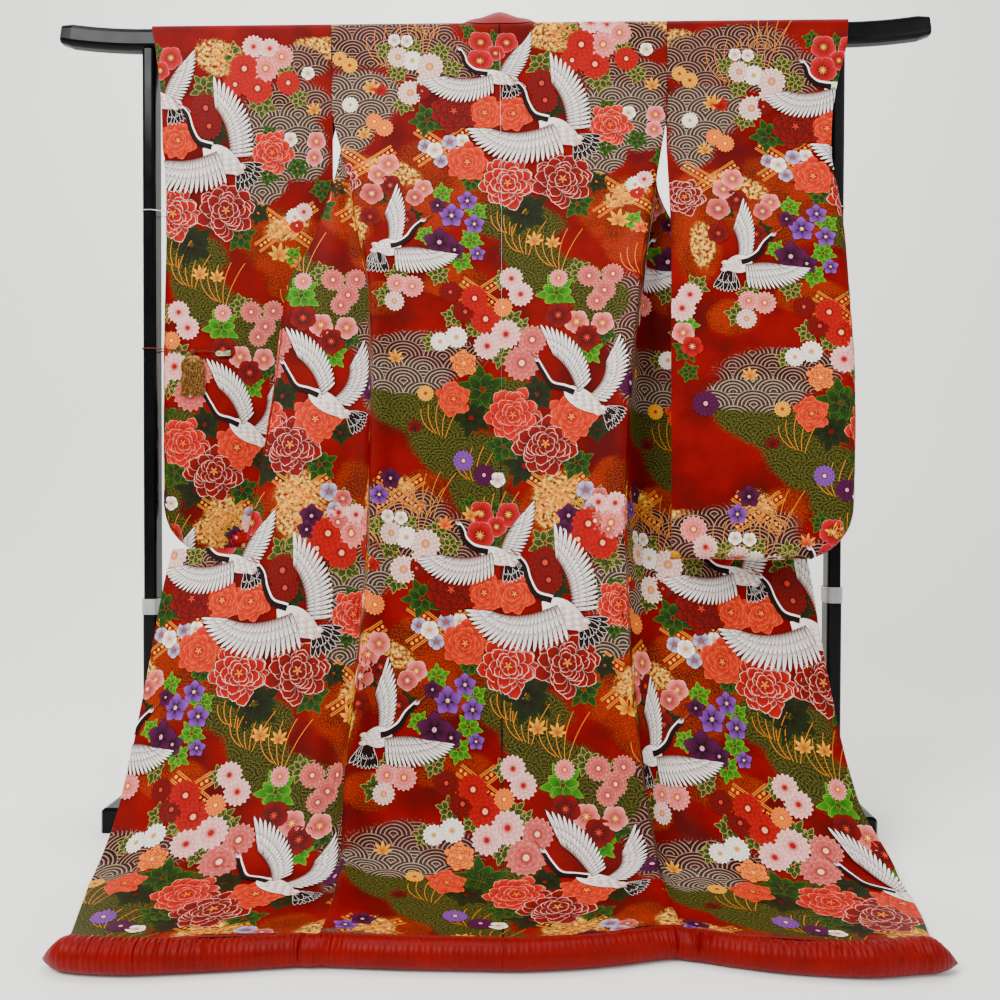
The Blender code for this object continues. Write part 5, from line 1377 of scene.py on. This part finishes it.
# Places in a crane are from its shoulder. Its neck runs from the head to the shoulder, and beak is its
# heading. body is (x, y, heading, length, width), and tail has its feathers' spread in place of a width. A
# wing's feathers turn from first to last, root to tip.
CRANES = (
    Crane(-1.3, 10.3, ((-6.4, -4.8), (-5.6, -3.5), (-5.2, -2.1), (-3.7, -0.7), (-1.0, -0.1)), 215,
          (-2.6, -0.2, 18, 7.4, 2.9), (2.6, 1.6, 62, 3.8, 80), (
              Wing(1.0, 0.3, 3.6, -4.6, -0.4, 22, -48, 3.4, 4.6, 5.6, 15),
              Wing(-0.6, 0.2, -8.7, 1.0, -0.6, 84, 171, 4.2, 5.4, 4.9, 19))),
    Crane(9.4, 20.0, ((-6.4, -7.7), (-5.2, -6.2), (-4.4, -3.5), (-3.1, -1.2), (-0.4, -0.2)), 228,
          (-2.2, 0.2, 30, 9.2, 4.6), (4.6, 3.4, 46, 4.9, 95), (
              Wing(3.0, 1.6, 0.6, -7.0, 0.7, -6, -94, 4.6, 5.4, 6.4, 17),
              Wing(0.2, 0.8, -10.6, 2.0, -1.0, 72, 184, 6.4, 6.6, 5.2, 21))),
    Crane(-19.5, 45.3, ((5.2, -5.2), (3.5, -3.5), (2.3, -1.6), (0.4, -0.3), (-0.8, 0.0)), -40,
          (1.2, 0.2, 172, 5.4, 3.4), (-3.0, 1.2, 96, 4.6, 60), (
              Wing(-1.4, 0.4, -1.9, -6.0, 0.5, -34, -72, 3.2, 4.6, 7.0, 14),
              Wing(0.2, 0.6, 6.4, 1.0, -0.5, 84, 6, 4.6, 5.8, 5.2, 17))),
    Crane(12.8, 72.1, ((-6.4, -5.6), (-5.2, -3.3), (-3.7, -1.0), (-1.4, -0.2), (0.4, 0.6)), 232,
          (-1.6, -0.2, 34, 9.0, 3.4), (5.6, 3.9, 42, 4.0, 70), (
              Wing(2.8, 1.4, 6.0, -4.2, 0.8, 18, -62, 3.6, 4.8, 6.0, 15),
              Wing(0.8, 0.6, -3.0, -6.0, 0.6, -44, -114, 3.4, 5.2, 6.6, 16))),
)
FeatherRow = namedtuple("FeatherRow", "long wide cover steps")
FEATHER_ROWS = (FeatherRow(1.0, 1.0, 0.86, 9), FeatherRow(0.56, 0.84, 1.05, 6),
                FeatherRow(0.30, 0.66, 1.05, 4))
WIDEST_FEATHER = 1.05
FEATHER_BEND = 10
TAIL_FEATHERS, DOWN_TUFTS = 8, 12
FEATHER_BASE, BODY_END = dye(168, 122, 118), dye(226, 208, 198)
DOWN_TIP, DOWN_RIM = dye(220, 200, 190), dye(176, 140, 130)
BEAK_BASE, BEAK_TIP, CROWN = dye(206, 150, 110), dye(150, 96, 70), dye(214, 20, 24)


def wing(d, c, w):
    """Rows of feathers along the wing's bone, each over the last."""
    root, wrist = np.array([w.root_x, w.root_y]), np.array([w.wrist_x, w.wrist_y])
    bone = np.linalg.norm(wrist - root)
    across_bone = np.array([-(wrist - root)[1], (wrist - root)[0]]) / bone
    bend = FEATHER_BEND * (1 if w.last > w.first else -1)
    for row in FEATHER_ROWS:
        for k in range(w.feathers, -1, -1):
            t = k / w.feathers
            middle = 4 * t * (1 - t)
            x, y = (c.x, c.y) + root + (wrist - root) * t ** 0.9 + across_bone * w.arch * middle
            reach = w.long_root * (1 - t) + w.long_tip * t
            reach += middle * (w.long_middle - 0.5 * (w.long_root + w.long_tip))
            fanned = math.radians(abs(w.last - w.first)) * reach * 0.55
            wide = min(row.cover * (bone + fanned) / w.feathers * row.wide, WIDEST_FEATHER)
            turn = w.first + (w.last - w.first) * t ** 1.3
            d.blade(x, y, turn, row.long * reach, wide, FEATHER_BASE, WHITE, shape="feather", bend=bend,
                    rim=INK, rim_wide=0.07, steps=row.steps)
        d.row_above()


def crane(d, c):
    """The tail, the far wing, the body and its down, the near wing, then the neck and the head."""
    x, y, heading, long, spread = c.tail
    for share in (1.0, 0.66):
        for k in range(TAIL_FEATHERS):
            turn = heading + spread * (k / (TAIL_FEATHERS - 1) - 0.5)
            d.blade(c.x + x, c.y + y, turn, long * share, 0.95, COAL, COAL, shape="feather", rim=WHITE,
                    rim_wide=0.04, bend=8)
        d.row_above()
    wing(d, c, c.wings[0])
    x, y, heading, long, wide = c.body
    d.blade(c.x + x, c.y + y, heading, long, wide, WHITE, BODY_END, shape="leaf", rim=INK, steps=12)
    d.row_above()
    for k in range(DOWN_TUFTS):
        spot = point_at(c.x + x, c.y + y, heading, (0.18 + 0.06 * k) * long)
        spot = point_at(*spot, heading + 90, 0.22 * wide * math.sin(2.1 * k))
        d.blade(*spot, heading, 1.3, 0.8, WHITE, DOWN_TIP, shape="feather", rim=DOWN_RIM, rim_wide=0.035,
                steps=4)
    d.row_above()
    wing(d, c, c.wings[1])
    route = smooth([(px, py, 0.0) for px, py in c.neck], 7)[:, :2] + (c.x, c.y)
    heads = np.gradient(route, axis=0)
    heads /= np.linalg.norm(heads, axis=1, keepdims=True)
    aside = np.stack([-heads[:, 1], heads[:, 0]], axis=1)
    half = np.linspace(0.42, 0.72, len(route))[:, None] * aside
    black_side = 1 if c.beak > 0 else -1
    middle = route - black_side * 0.45 * half
    edges = [route - black_side * half, middle, middle, route + black_side * half]
    d.strip(edges, np.array([[WHITE, WHITE, COAL, COAL]]), d.lift, apart=(1,))
    d.row_above()
    head = route[0]
    d.blade(*point_at(*head, c.beak, 0.2), c.beak, 2.1, 0.26, BEAK_BASE, BEAK_TIP, shape="leaf")
    d.row_above()
    d.blade(*point_at(*head, c.beak, -0.55), c.beak, 1.25, 0.74, WHITE, COAL, shape="leaf", rim=INK,
            rim_wide=0.03)
    d.row_above()
    x, y = point_at(*head, c.beak, -0.35)
    d.blade(x, y - 0.22, c.beak, 0.75, 0.28, CROWN, CROWN, shape="leaf", steps=4)


# Each kind of figure, from the ground up, with its height off the cloth in metres. A figure is the middle
# and the radius, in centimetres, and figures in a row with the same look are given after that look.
FIGURES = (
    (lattice, 0.22e-3, (
        (None, (-11, 25, 6), (-25, 29, 6), (23, 35, 7), (12, 3, 3), (10, 91, 6), (-18, 91, 5), (30, 84, 7),
        (-4, 54, 4)),
    )),
    (grass, 0.26e-3, (
        (None, (-22, 9, 7), (-16, 6, 6), (3, 46, 5), (9, 49, 6), (-12, 80, 5), (-6, 88, 5), (-14, 3, 6),
        (0, 42, 4), (-2, 96, 5), (24, 51, 5)),
    )),
    (leaves, 0.30e-3, (
        (PALE_EDGED, (-21.7, 6.1, 1.8), (-16.4, 5.4, 1.8), (-11.2, 6.3, 1.9), (-18.2, 16.6, 2.0),
        (-9.0, 9.4, 1.9), (-19.4, 10.4, 1.9), (13.3, 2.6, 2.5), (7.8, 8.8, 2.8), (18.8, 12.0, 2.5),
        (25.8, 11.0, 1.9), (23.2, 6.0, 1.9)), (GREEN, (-13.8, 19.8, 3.2), (20.0, 17.6, 1.8),
        (19.6, 25.0, 2.2), (25.4, 24.0, 2.0), (-5.4, 32.0, 2.4)), (DARK_GREEN, (4.5, 38.2, 4.4)),
        (GREEN, (14.0, 36.8, 3.0)), (DARK_GREEN, (17.6, 32.4, 2.2), (9.6, 17.4, 2.6)),
        (GREEN, (-1.2, 2.4, 2.0), (-1.8, 7.6, 2.4), (-5.6, 1.4, 1.8)), (BRIGHT, (-4.6, 38.0, 2.0),
        (-5.6, 43.8, 2.2), (-7.4, 48.0, 2.2), (-14.0, 43.0, 1.8), (-11.0, 34.6, 2.0), (24.0, 40.6, 2.0),
        (10.0, 54.2, 3.4), (15.6, 65.4, 2.6)), (GREEN, (18.6, 62.0, 2.2), (-3.4, 71.8, 4.2)),
        (DARK_GREEN, (-5.4, 77.0, 3.4), (6.4, 72.8, 3.4), (4.2, 85.6, 3.8)), (GREEN, (13.4, 85.4, 3.0),
        (0.4, 82.0, 3.0)), (DARK_GREEN, (17.0, 79.6, 2.2)), (PALE_EDGED, (-18.8, 51.4, 2.2),
        (-21.0, 55.4, 2.2), (-11.4, 50.8, 2.0), (0.2, 51.4, 1.8), (14.0, 50.0, 2.2), (18.4, 52.2, 2.2),
        (-8.8, 58.6, 2.0), (-4.8, 60.6, 2.0), (-12.6, 63.6, 1.8), (1.6, 59.2, 2.4), (-0.2, 65.6, 2.2),
        (3.4, 60.4, 2.0), (17.0, 92.0, 2.4), (13.0, 96.0, 2.2), (-28.2, 50.0, 2.2)),
        (BRIGHT, (-30.0, 57.4, 2.2)), (GREEN, (-30.0, 62.0, 2.4), (29.4, 47.6, 2.4)),
        (DARK_GREEN, (-22.6, 35.2, 1.8), (-16.4, 39.4, 2.0)), (GREEN, (30.0, 28.0, 2.2),
        (-29.6, 66.2, 1.8)),
    )),
    (maple, 0.52e-3, (
        (YELLOW, (-24.4, 13.6, 2.2)), (SCARLET, (-22.8, 14.0, 2.0)), (YELLOW, (-25.6, 22.8, 1.8),
        (21.4, 40.6, 2.6), (6.1, 44.2, 2.0), (9.4, 44.8, 1.8), (-5.4, 94.6, 2.0), (-19.0, 67.0, 1.8)),
        (TANGERINE, (25.4, 42.6, 2.0), (-10.0, 96.4, 1.8)), (YELLOW, (28.6, 13.4, 1.8)),
        (CRIMSON, (-15.4, 79.4, 1.8)),
    )),
    (bellflower, 0.54e-3, (
        (LILAC, (-6.3, 36.0, 2.0), (-9.2, 39.0, 2.5), (-5.0, 40.6, 2.0)), (PLUM, (-11.4, 44.4, 3.0),
        (-11.8, 37.0, 1.6), (-8.6, 45.8, 2.0)), (LILAC, (-4.4, 46.4, 1.5)), (PLUM, (12.0, 94.6, 2.2),
        (11.2, 97.0, 1.8)), (LILAC, (29.0, 88.0, 2.2)), (PLUM, (30.4, 91.0, 2.0), (-19.6, 88.4, 2.0)),
        (LILAC, (-21.6, 91.4, 1.8)),
    )),
    (camellia, 0.56e-3, (
        (MAGENTA, (-3.6, 2.9, 2.3), (1.3, 3.0, 2.2), (-0.8, 5.4, 1.8), (-3.8, 7.2, 2.6)),
        (CRIMSON, (10.3, 58.4, 2.5)), (PINK, (13.6, 59.8, 2.2)), (CRIMSON, (15.4, 62.8, 2.5)),
        (PINK, (18.2, 60.2, 2.1)), (MIST, (-9.6, 24.2, 1.5)), (SNOW, (-12.4, 25.8, 1.6)),
        (MIST, (-14.2, 25.0, 1.4)), (SNOW, (-7.2, 24.0, 1.4)), (MIST, (-11.2, 28.0, 1.4),
        (-8.4, 26.4, 1.3)), (PINK, (-21.0, 28.6, 2.0), (-22.8, 30.8, 2.0)), (DUSTY, (-24.0, 34.8, 2.2)),
        (PINK, (-14.5, 33.6, 1.8)), (DUSTY, (-16.0, 35.4, 1.7)), (CRIMSON, (-24.2, 39.8, 2.0),
        (-20.6, 33.0, 2.2), (-17.4, 40.0, 2.0)), (MIST, (15.0, 90.2, 1.7)), (DUSTY, (17.4, 91.4, 1.6)),
        (MIST, (16.0, 93.4, 1.5)), (SNOW, (-20.0, 4.0, 1.2), (-17.6, 4.2, 1.2), (27.6, 6.2, 1.3)),
        (PINK, (-30.6, 58.8, 2.0)), (SCARLET, (-29.0, 61.4, 2.0)), (SNOW, (24.0, 18.6, 1.4)),
        (PINK, (29.0, 19.0, 1.8), (28.6, 22.0, 1.6)), (SNOW, (-0.6, 88.0, 1.4)), (MIST, (28.0, 56.0, 1.6)),
    )),
    (chrysanthemum, 0.60e-3, (
        (YELLOW, (-30.4, 7.5, 1.5), (-28.5, 8.8, 1.6)), (BANDED, (-19.3, 7.3, 2.1)),
        (SNOW, (-16.6, 8.0, 2.0)), (BANDED, (-13.3, 9.2, 2.7), (-13.6, 12.2, 2.3), (-17.0, 14.3, 2.5)),
        (CRIMSON, (-14.8, 14.0, 1.8)), (TANGERINE, (-23.8, 20.0, 1.7), (-21.9, 21.3, 1.8)),
        (BLOSSOM, (17.2, 1.0, 2.2), (20.3, 1.4, 2.0)), (PINK, (22.6, 3.0, 2.3), (19.5, 5.2, 2.6)),
        (SCARLET, (15.4, 5.2, 3.0), (17.9, 9.0, 3.0), (13.6, 8.2, 2.4), (23.8, 8.0, 2.4)),
        (CRIMSON, (7.8, 12.6, 3.0), (8.4, 16.0, 2.6)), (SNOW, (24.7, 33.2, 1.8)),
        (BLOSSOM, (26.4, 32.2, 1.7)), (SCARLET, (25.0, 34.8, 1.4)), (BLOSSOM, (1.8, 51.2, 2.2),
        (3.5, 54.2, 2.3)), (PINK, (10.4, 51.4, 1.7)), (DUSTY, (15.9, 51.2, 2.1), (20.2, 51.0, 2.0),
        (18.6, 54.0, 2.1), (17.2, 56.0, 1.9)), (PINK, (-19.0, 52.8, 1.9), (-16.2, 53.2, 2.1)),
        (BANDED, (-19.4, 56.2, 1.9)), (CRIMSON, (-9.3, 54.0, 2.1)), (SCARLET, (-4.9, 55.0, 2.6)),
        (CRIMSON, (-6.6, 57.6, 2.3)), (SCARLET, (-2.9, 58.8, 2.9)), (TANGERINE, (0.3, 56.6, 1.8)),
        (BLOSSOM, (0.8, 61.6, 2.8), (-2.6, 63.8, 2.5)), (DUSTY, (3.7, 67.0, 3.3), (5.6, 62.8, 2.7)),
        (SNOW, (-8.2, 62.4, 2.1), (-11.1, 63.4, 1.8)), (YELLOW, (-13.6, 73.0, 1.5)),
        (LILAC, (-6.8, 84.8, 1.9)), (PLUM, (-3.1, 87.2, 2.0), (23.2, 71.6, 2.4)), (DUSTY, (16.6, 95.6, 2.1),
        (19.0, 97.2, 1.8)), (BLOSSOM, (-29.4, 51.6, 2.2), (-30.8, 54.2, 2.5)), (PLUM, (-26.8, 72.0, 2.4)),
        (BLOSSOM, (28.6, 94.0, 2.2)), (SCARLET, (31.0, 96.0, 2.2)), (PINK, (-29.0, 94.0, 2.3)),
        (BLOSSOM, (-27.0, 97.0, 2.1)), (CRIMSON, (30.6, 38.8, 2.3)), (SNOW, (-28.4, 16.6, 1.6)),
    )),
    (peony, 0.70e-3, (
        (CORAL, (20.5, 21.0, 4.0)), (SHELL, (-3.0, 18.4, 3.7), (2.4, 18.6, 3.4), (-6.3, 28.2, 3.8)),
        (CRIMSON, (-8.8, 18.0, 4.3)), (FLAME, (1.2, 32.4, 5.0)), (GARNET, (11.4, 31.8, 5.4)),
        (TANGERINE, (-6.8, 67.2, 2.4)), (SHELL, (-8.6, 73.8, 3.0), (12.6, 77.2, 4.2)),
        (CORAL, (2.1, 76.4, 4.8)), (GARNET, (8.0, 81.8, 5.5), (-30.0, 32.4, 3.6)),
        (CORAL, (30.6, 60.0, 3.4)),
    )),
)
CRANE_LIFT = 1.25e-3
NEIGHBOUR_ABOVE, NEIGHBOURS = 4e-5, 5  # figures of one kind lie at five heights in turn


@lru_cache(maxsize=None)
def one_repeat(fine):
    """The repeat's strips as arrays, with fewer steps and no rims where it lies out of sight."""
    d = Drawing(fine)
    for draw, lift, looks in FIGURES:
        places = [(look, *place) for look, *alike in looks for place in alike]
        for k, (look, x, y, radius) in enumerate(places):
            d.start(x, y, lift + NEIGHBOUR_ABOVE * (k % NEIGHBOURS))
            draw(d, x, y, radius, look)
    for c in CRANES:
        d.start(c.x, c.y, CRANE_LIFT)
        crane(d, c)
    return tuple(map(np.concatenate, (d.points, d.anchors, d.lifts, d.colours, d.quads, d.gold)))


def laid(patch, across, down, lift):
    """Points on the cloth's outer face at these places, and which of them are past each of its four sides."""
    drops, ends = patch.down[:, 0], patch.across[:, [0, -1]]
    r = np.clip(np.searchsorted(drops, down) - 1, 0, len(drops) - 2)
    t = (down - drops[r]) / (drops[r + 1] - drops[r])
    beyond = [t < 0, t > 1]
    t = np.clip(t, 0, 1)[:, None]
    near, far = (ends[r] * (1 - t) + ends[r + 1] * t).T
    s = (across - near) / (far - near)
    beyond += [s < 0, s > 1]
    place = np.clip(s, 0, 1) * (patch.points.shape[1] - 1)
    c = np.minimum(place.astype(int), patch.points.shape[1] - 2)
    u = (place - c)[:, None]

    def between(grid):
        return ((1 - t) * ((1 - u) * grid[r, c] + u * grid[r, c + 1])
                + t * ((1 - u) * grid[r + 1, c] + u * grid[r + 1, c + 1]))

    return between(patch.points) + between(patch.normals) * lift[:, None], np.stack(beyond)


FLOAT_SPACING = 0.0009


def thread_finish(name, **sockets):
    """Silk floats in the figures' own colours, a little uneven."""
    made = Finish(name, 0.55, Specular_IOR_Level=0.08, **sockets)
    shade = made.node("ShaderNodeAttribute", {"attribute_name": "silk"}).outputs["Color"]
    flat = made.node("ShaderNodeUVMap", {"uv_map": "cloth"}).outputs[0]
    floats = made.ridges(made.node("ShaderNodeSeparateXYZ", None, in0=flat).outputs[1], FLOAT_SPACING)
    uneven = made.ramp(made.noise(420.0, 3.0, flat), 0.3, 0.7)
    made.colour(made.mix(made.times(uneven, 0.16), shade, (0.10, 0.02, 0.015)))
    made.bump(made.plus(floats, made.noise(800.0, 2.0, flat)), 0.2, 0.0005)
    return made


silk_thread = thread_finish("silk_figures")
gold_thread = thread_finish("gold_figures", Metallic=0.35)


def figures(name, cloths, wall=WALL):
    """The repeats' figures on a panel, as one piece. cloths are each a patch, its repeats and whether the
    figures on it are seen close."""
    parts = []
    start = 0
    for patch, repeats, fine in cloths:
        points, anchors, lifts, colours, quads, gold = one_repeat(fine)
        for repeat in repeats:
            across = 0.01 * (points[:, 0] + repeat.across)
            down = 0.01 * (points[:, 1] + (repeat.scale - 1) * anchors[:, 1] + repeat.down)
            places, beyond = laid(patch, across, down, lifts + wall / 2)
            kept = ~beyond[:, quads].all(axis=2).any(axis=0)
            used = np.unique(quads[kept])
            index = np.zeros(len(points), int)
            index[used] = np.arange(len(used)) + start
            start += len(used)
            parts.append((places[used], across[used], down[used], colours[used], index[quads[kept]],
                          gold[kept]))
    places, across, down, shade, faces, golden = map(np.concatenate, zip(*parts))
    mesh = new_mesh(name, places.tolist(), faces.tolist(), silk_thread, gold_thread)
    lay_flat(mesh, across, down)
    silk = mesh.attributes.new("silk", "FLOAT_COLOR", "POINT")
    silk.data.foreach_set("color", np.insert(shade, 3, 1.0, axis=1).astype(np.float32).ravel())
    mesh.polygons.foreach_set("material_index", golden.astype(np.int32))
    mended(mesh, lambda work: bmesh.ops.dissolve_degenerate(work, dist=2e-5, edges=work.edges))
    mesh.shade_smooth()
    made = standing(mesh)
    return made


for name, cloths in patches.items():
    if name.startswith("sleeve"):
        drawn = [(cloths[0], REPEATS[name], True), (cloths[1], REPEATS[f"{name}_hidden"], False)]
    else:
        drawn = [(cloth, REPEATS[name], k == 0) for k, cloth in enumerate(cloths)]
    figures(f"{name}_figures", drawn, COLLAR_WALL if name == "collar" else WALL)

# ---------------------------------------------------------------- the ties and tassels
# A twisted cotton thread ties each sleeve to its post, and a russet silk cord is knotted round the left one.
# Its tassels are wavy strands of silk, bound together at the head.

CORD_TWIST, THREAD_TWIST = 0.003, 0.002


def twisted(name, first, second, twist):
    """Cord or thread whose plies show as slanting bands, with painted shade in the grooves between them."""
    made = Finish(name, 0.6, Specular_IOR_Level=0.1)
    x, y, z = made.node("ShaderNodeSeparateXYZ", None,
                        in0=made.node("ShaderNodeTexCoord").outputs["Object"]).outputs
    plies = made.ridges(made.plus(made.plus(x, y), made.times(z, 0.8)), twist)
    # first is painted shade in the grooves between the plies, second the thread's own colour on them
    made.colour(made.mix(made.ramp(plies, 0.1, 0.6), first, second))
    made.bump(plies, 0.4, 0.0004)
    return made


# The first colour of each pair is painted shade for the grooves between the plies.
russet = twisted("russet_cord", srgb(30, 8, 6), srgb(112, 40, 24), CORD_TWIST)
white = twisted("white_thread", srgb(150, 120, 116), srgb(226, 214, 206), THREAD_TWIST)
dress(("tie_cord_left", "tie_cord_end", "tie_knot"), russet)
dress(("thread_tie_left", "thread_tie_right"), white)

Tassel = namedtuple("Tassel", "node along across heading strands thick waves dark light")
UP, ACROSS = 2, 0
TASSELS = (
    Tassel("tassel_gold", UP, ACROSS, -1, 84, 0.0007, 3.4, srgb(84, 48, 16), srgb(186, 132, 62)),
    Tassel("tassel_pale", ACROSS, UP, 1, 34, 0.0005, 0.8, srgb(140, 146, 82), srgb(240, 240, 204)),
)
STRAND_STEPS = 20
WAVE_HEIGHT = 0.0011
HEAD_RINGS, HEAD_SIDES = 12, 24
BETWEEN_TURNS = 0.90  # the width between two turns of the binding, as a share of a turn's
# Steps whose whole parts are dropped, which scatter the strands evenly: aside, deep and in their ends.
SCATTER_ASIDE, SCATTER_DEEP, SCATTER_ENDS = 0.618034, 0.414214, 0.7548


def box_middle(node):
    """The middle and the half size of a solid's box."""
    low, high = map(np.array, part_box(node))
    return (low + high) / 2, (high - low) / 2


def tassel_strands(t):
    """Each strand is a tube with three sides, from the head out through the tassel's own box."""
    middle, half = box_middle(t.node)
    run = np.linspace(0.0, 1.0, STRAND_STEPS)
    vertices, faces = [], []
    for i in range(t.strands):
        aside, deep = 2 * (SCATTER_ASIDE * i % 1.0) - 1, 2 * (SCATTER_DEEP * i % 1.0) - 1
        opened = 0.34 + 0.66 * np.clip(run / 0.16, 0.0, 1.0) ** 0.6 * (0.80 + 0.20 * run)
        wave = WAVE_HEIGHT * np.sin(2 * math.pi * (t.waves + 0.5 * aside) * run + 2.4 * i)
        wave *= np.minimum(1, 5 * run)
        end = 1.0 - 0.07 * (SCATTER_ENDS * i % 1.0)
        line = np.empty((STRAND_STEPS, 3))
        line[:, t.along] = middle[t.along] + t.heading * half[t.along] * (2 * run * end - 0.99)
        room_aside = half[t.across] - WAVE_HEIGHT - t.thick
        line[:, t.across] = middle[t.across] + aside * room_aside * opened + wave
        line[:, 1] = middle[1] + deep * (half[1] - 1.3 * t.thick) * (0.6 + 0.4 * opened)
        first = len(vertices)
        for point in line:
            for corner in range(3):
                turn = 2 * math.pi * corner / 3 + 0.9 * i
                off = np.zeros(3)
                off[t.across], off[1] = t.thick * math.cos(turn), t.thick * math.sin(turn)
                vertices.append(point + off)
        faces += tube_faces(first, STRAND_STEPS, 3)
        last = len(vertices)
        faces += [(first, first + 2, first + 1), (last - 3, last - 2, last - 1)]
    return vertices, faces


def tassel_head(t, vertices, faces):
    """Turns of thread that bind the strands at the top."""
    middle, half = box_middle(t.node)
    rings, sides = HEAD_RINGS, HEAD_SIDES
    start = len(vertices)
    for k in range(rings):
        sunk = 1.0 if k % 2 else BETWEEN_TURNS
        full = (0.36 + 0.16 * math.sin(math.pi * min(1.0, 1.3 * k / (rings - 1)))) * sunk
        for c in range(sides):
            turn = 2 * math.pi * c / sides
            point = middle.copy()
            point[t.along] += t.heading * half[t.along] * (2 * (0.02 + 0.15 * k / (rings - 1)) - 1)
            point[t.across] += full * half[t.across] * math.cos(turn)
            point[1] += 0.96 * half[1] * math.sin(turn) * sunk
            vertices.append(point)
    faces += tube_faces(start, rings, sides)
    last = len(vertices)
    faces += [tuple(range(start, start + sides)), tuple(reversed(range(last - sides, last)))]


for t in TASSELS:
    vertices, faces = tassel_strands(t)
    tassel_head(t, vertices, faces)
    silk = Finish(f"{t.node}_silk", 0.5, Specular_IOR_Level=0.2)
    silk.colour(silk.mix(silk.ramp(silk.noise(260.0, 3.0), 0.35, 0.7), t.dark, t.light))
    silk.bump(silk.noise(2400.0, 2.0), 0.1, 0.0002)
    mesh = new_mesh(f"{t.node}_strands", [tuple(v) for v in vertices], faces, silk)
    mended(mesh, faces_outwards)
    mesh.shade_smooth()
    strands = standing(mesh)
    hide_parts(t.node)

# ---------------------------------------------------------------- the room
# A pale floor that runs up into a pale wall in a cove. A broad soft light stands high at the left before the
# garment, with a weaker one at the right, one overhead, and daylight all round.

plaster = Finish("pale_plaster", 0.85)
plaster.colour(plaster.mix(plaster.noise(2.0), srgb(247, 246, 241), srgb(250, 249, 244)))
FLOOR_HALF = 6.0
WALL_BACK = 2.2
WALL_TOP = 5.0
COVE = 0.9
COVE_STEPS = 15
DAYLIGHT = (0.93, 0.95, 1.0, 1.0)
DAYLIGHT_STRENGTH = 0.66
profile = [(-FLOOR_HALF, 0.0), (WALL_BACK - COVE, 0.0)]
profile += [(WALL_BACK - COVE + COVE * math.sin(a), COVE - COVE * math.cos(a))
            for a in np.linspace(0, math.pi / 2, COVE_STEPS + 1)[1:]]
profile += [(WALL_BACK, WALL_TOP)]
mesh = new_mesh("room", [(x, y, z) for y, z in profile for x in (-FLOOR_HALF, FLOOR_HALF)],
                [(2 * k, 2 * k + 1, 2 * k + 3, 2 * k + 2) for k in range(len(profile) - 1)], plaster)
mesh.shade_smooth()
room = bpy.data.objects.new("room", mesh)
bpy.context.scene.collection.objects.link(room)

Lamp = namedtuple("Lamp", "name place target size watts")
for lamp in (
    Lamp("key", (-1.9, -2.2, 3.2), (0.0, 0.0, 0.7), 1.7, 200.0),
    Lamp("fill", (2.6, -2.4, 1.8), (0.0, 0.0, 0.7), 2.2, 42.0),
    Lamp("top", (0.0, 0.5, 3.6), (0.0, 0.9, 0.0), 2.6, 110.0),
):
    light = bpy.data.lights.new(lamp.name, "AREA")
    light.size = lamp.size
    light.energy = lamp.watts
    made = bpy.data.objects.new(lamp.name, light)
    made.location = lamp.place
    aim = np.array(lamp.target) - np.array(lamp.place)
    made.rotation_euler = (math.atan2(math.hypot(aim[0], aim[1]), -aim[2]), 0.0,
                           math.atan2(-aim[0], aim[1]))
    bpy.context.scene.collection.objects.link(made)
world = bpy.data.worlds.new("room_light")
world.use_nodes = True
world.node_tree.nodes["Background"].inputs["Color"].default_value = DAYLIGHT
world.node_tree.nodes["Background"].inputs["Strength"].default_value = DAYLIGHT_STRENGTH
bpy.context.scene.world = world
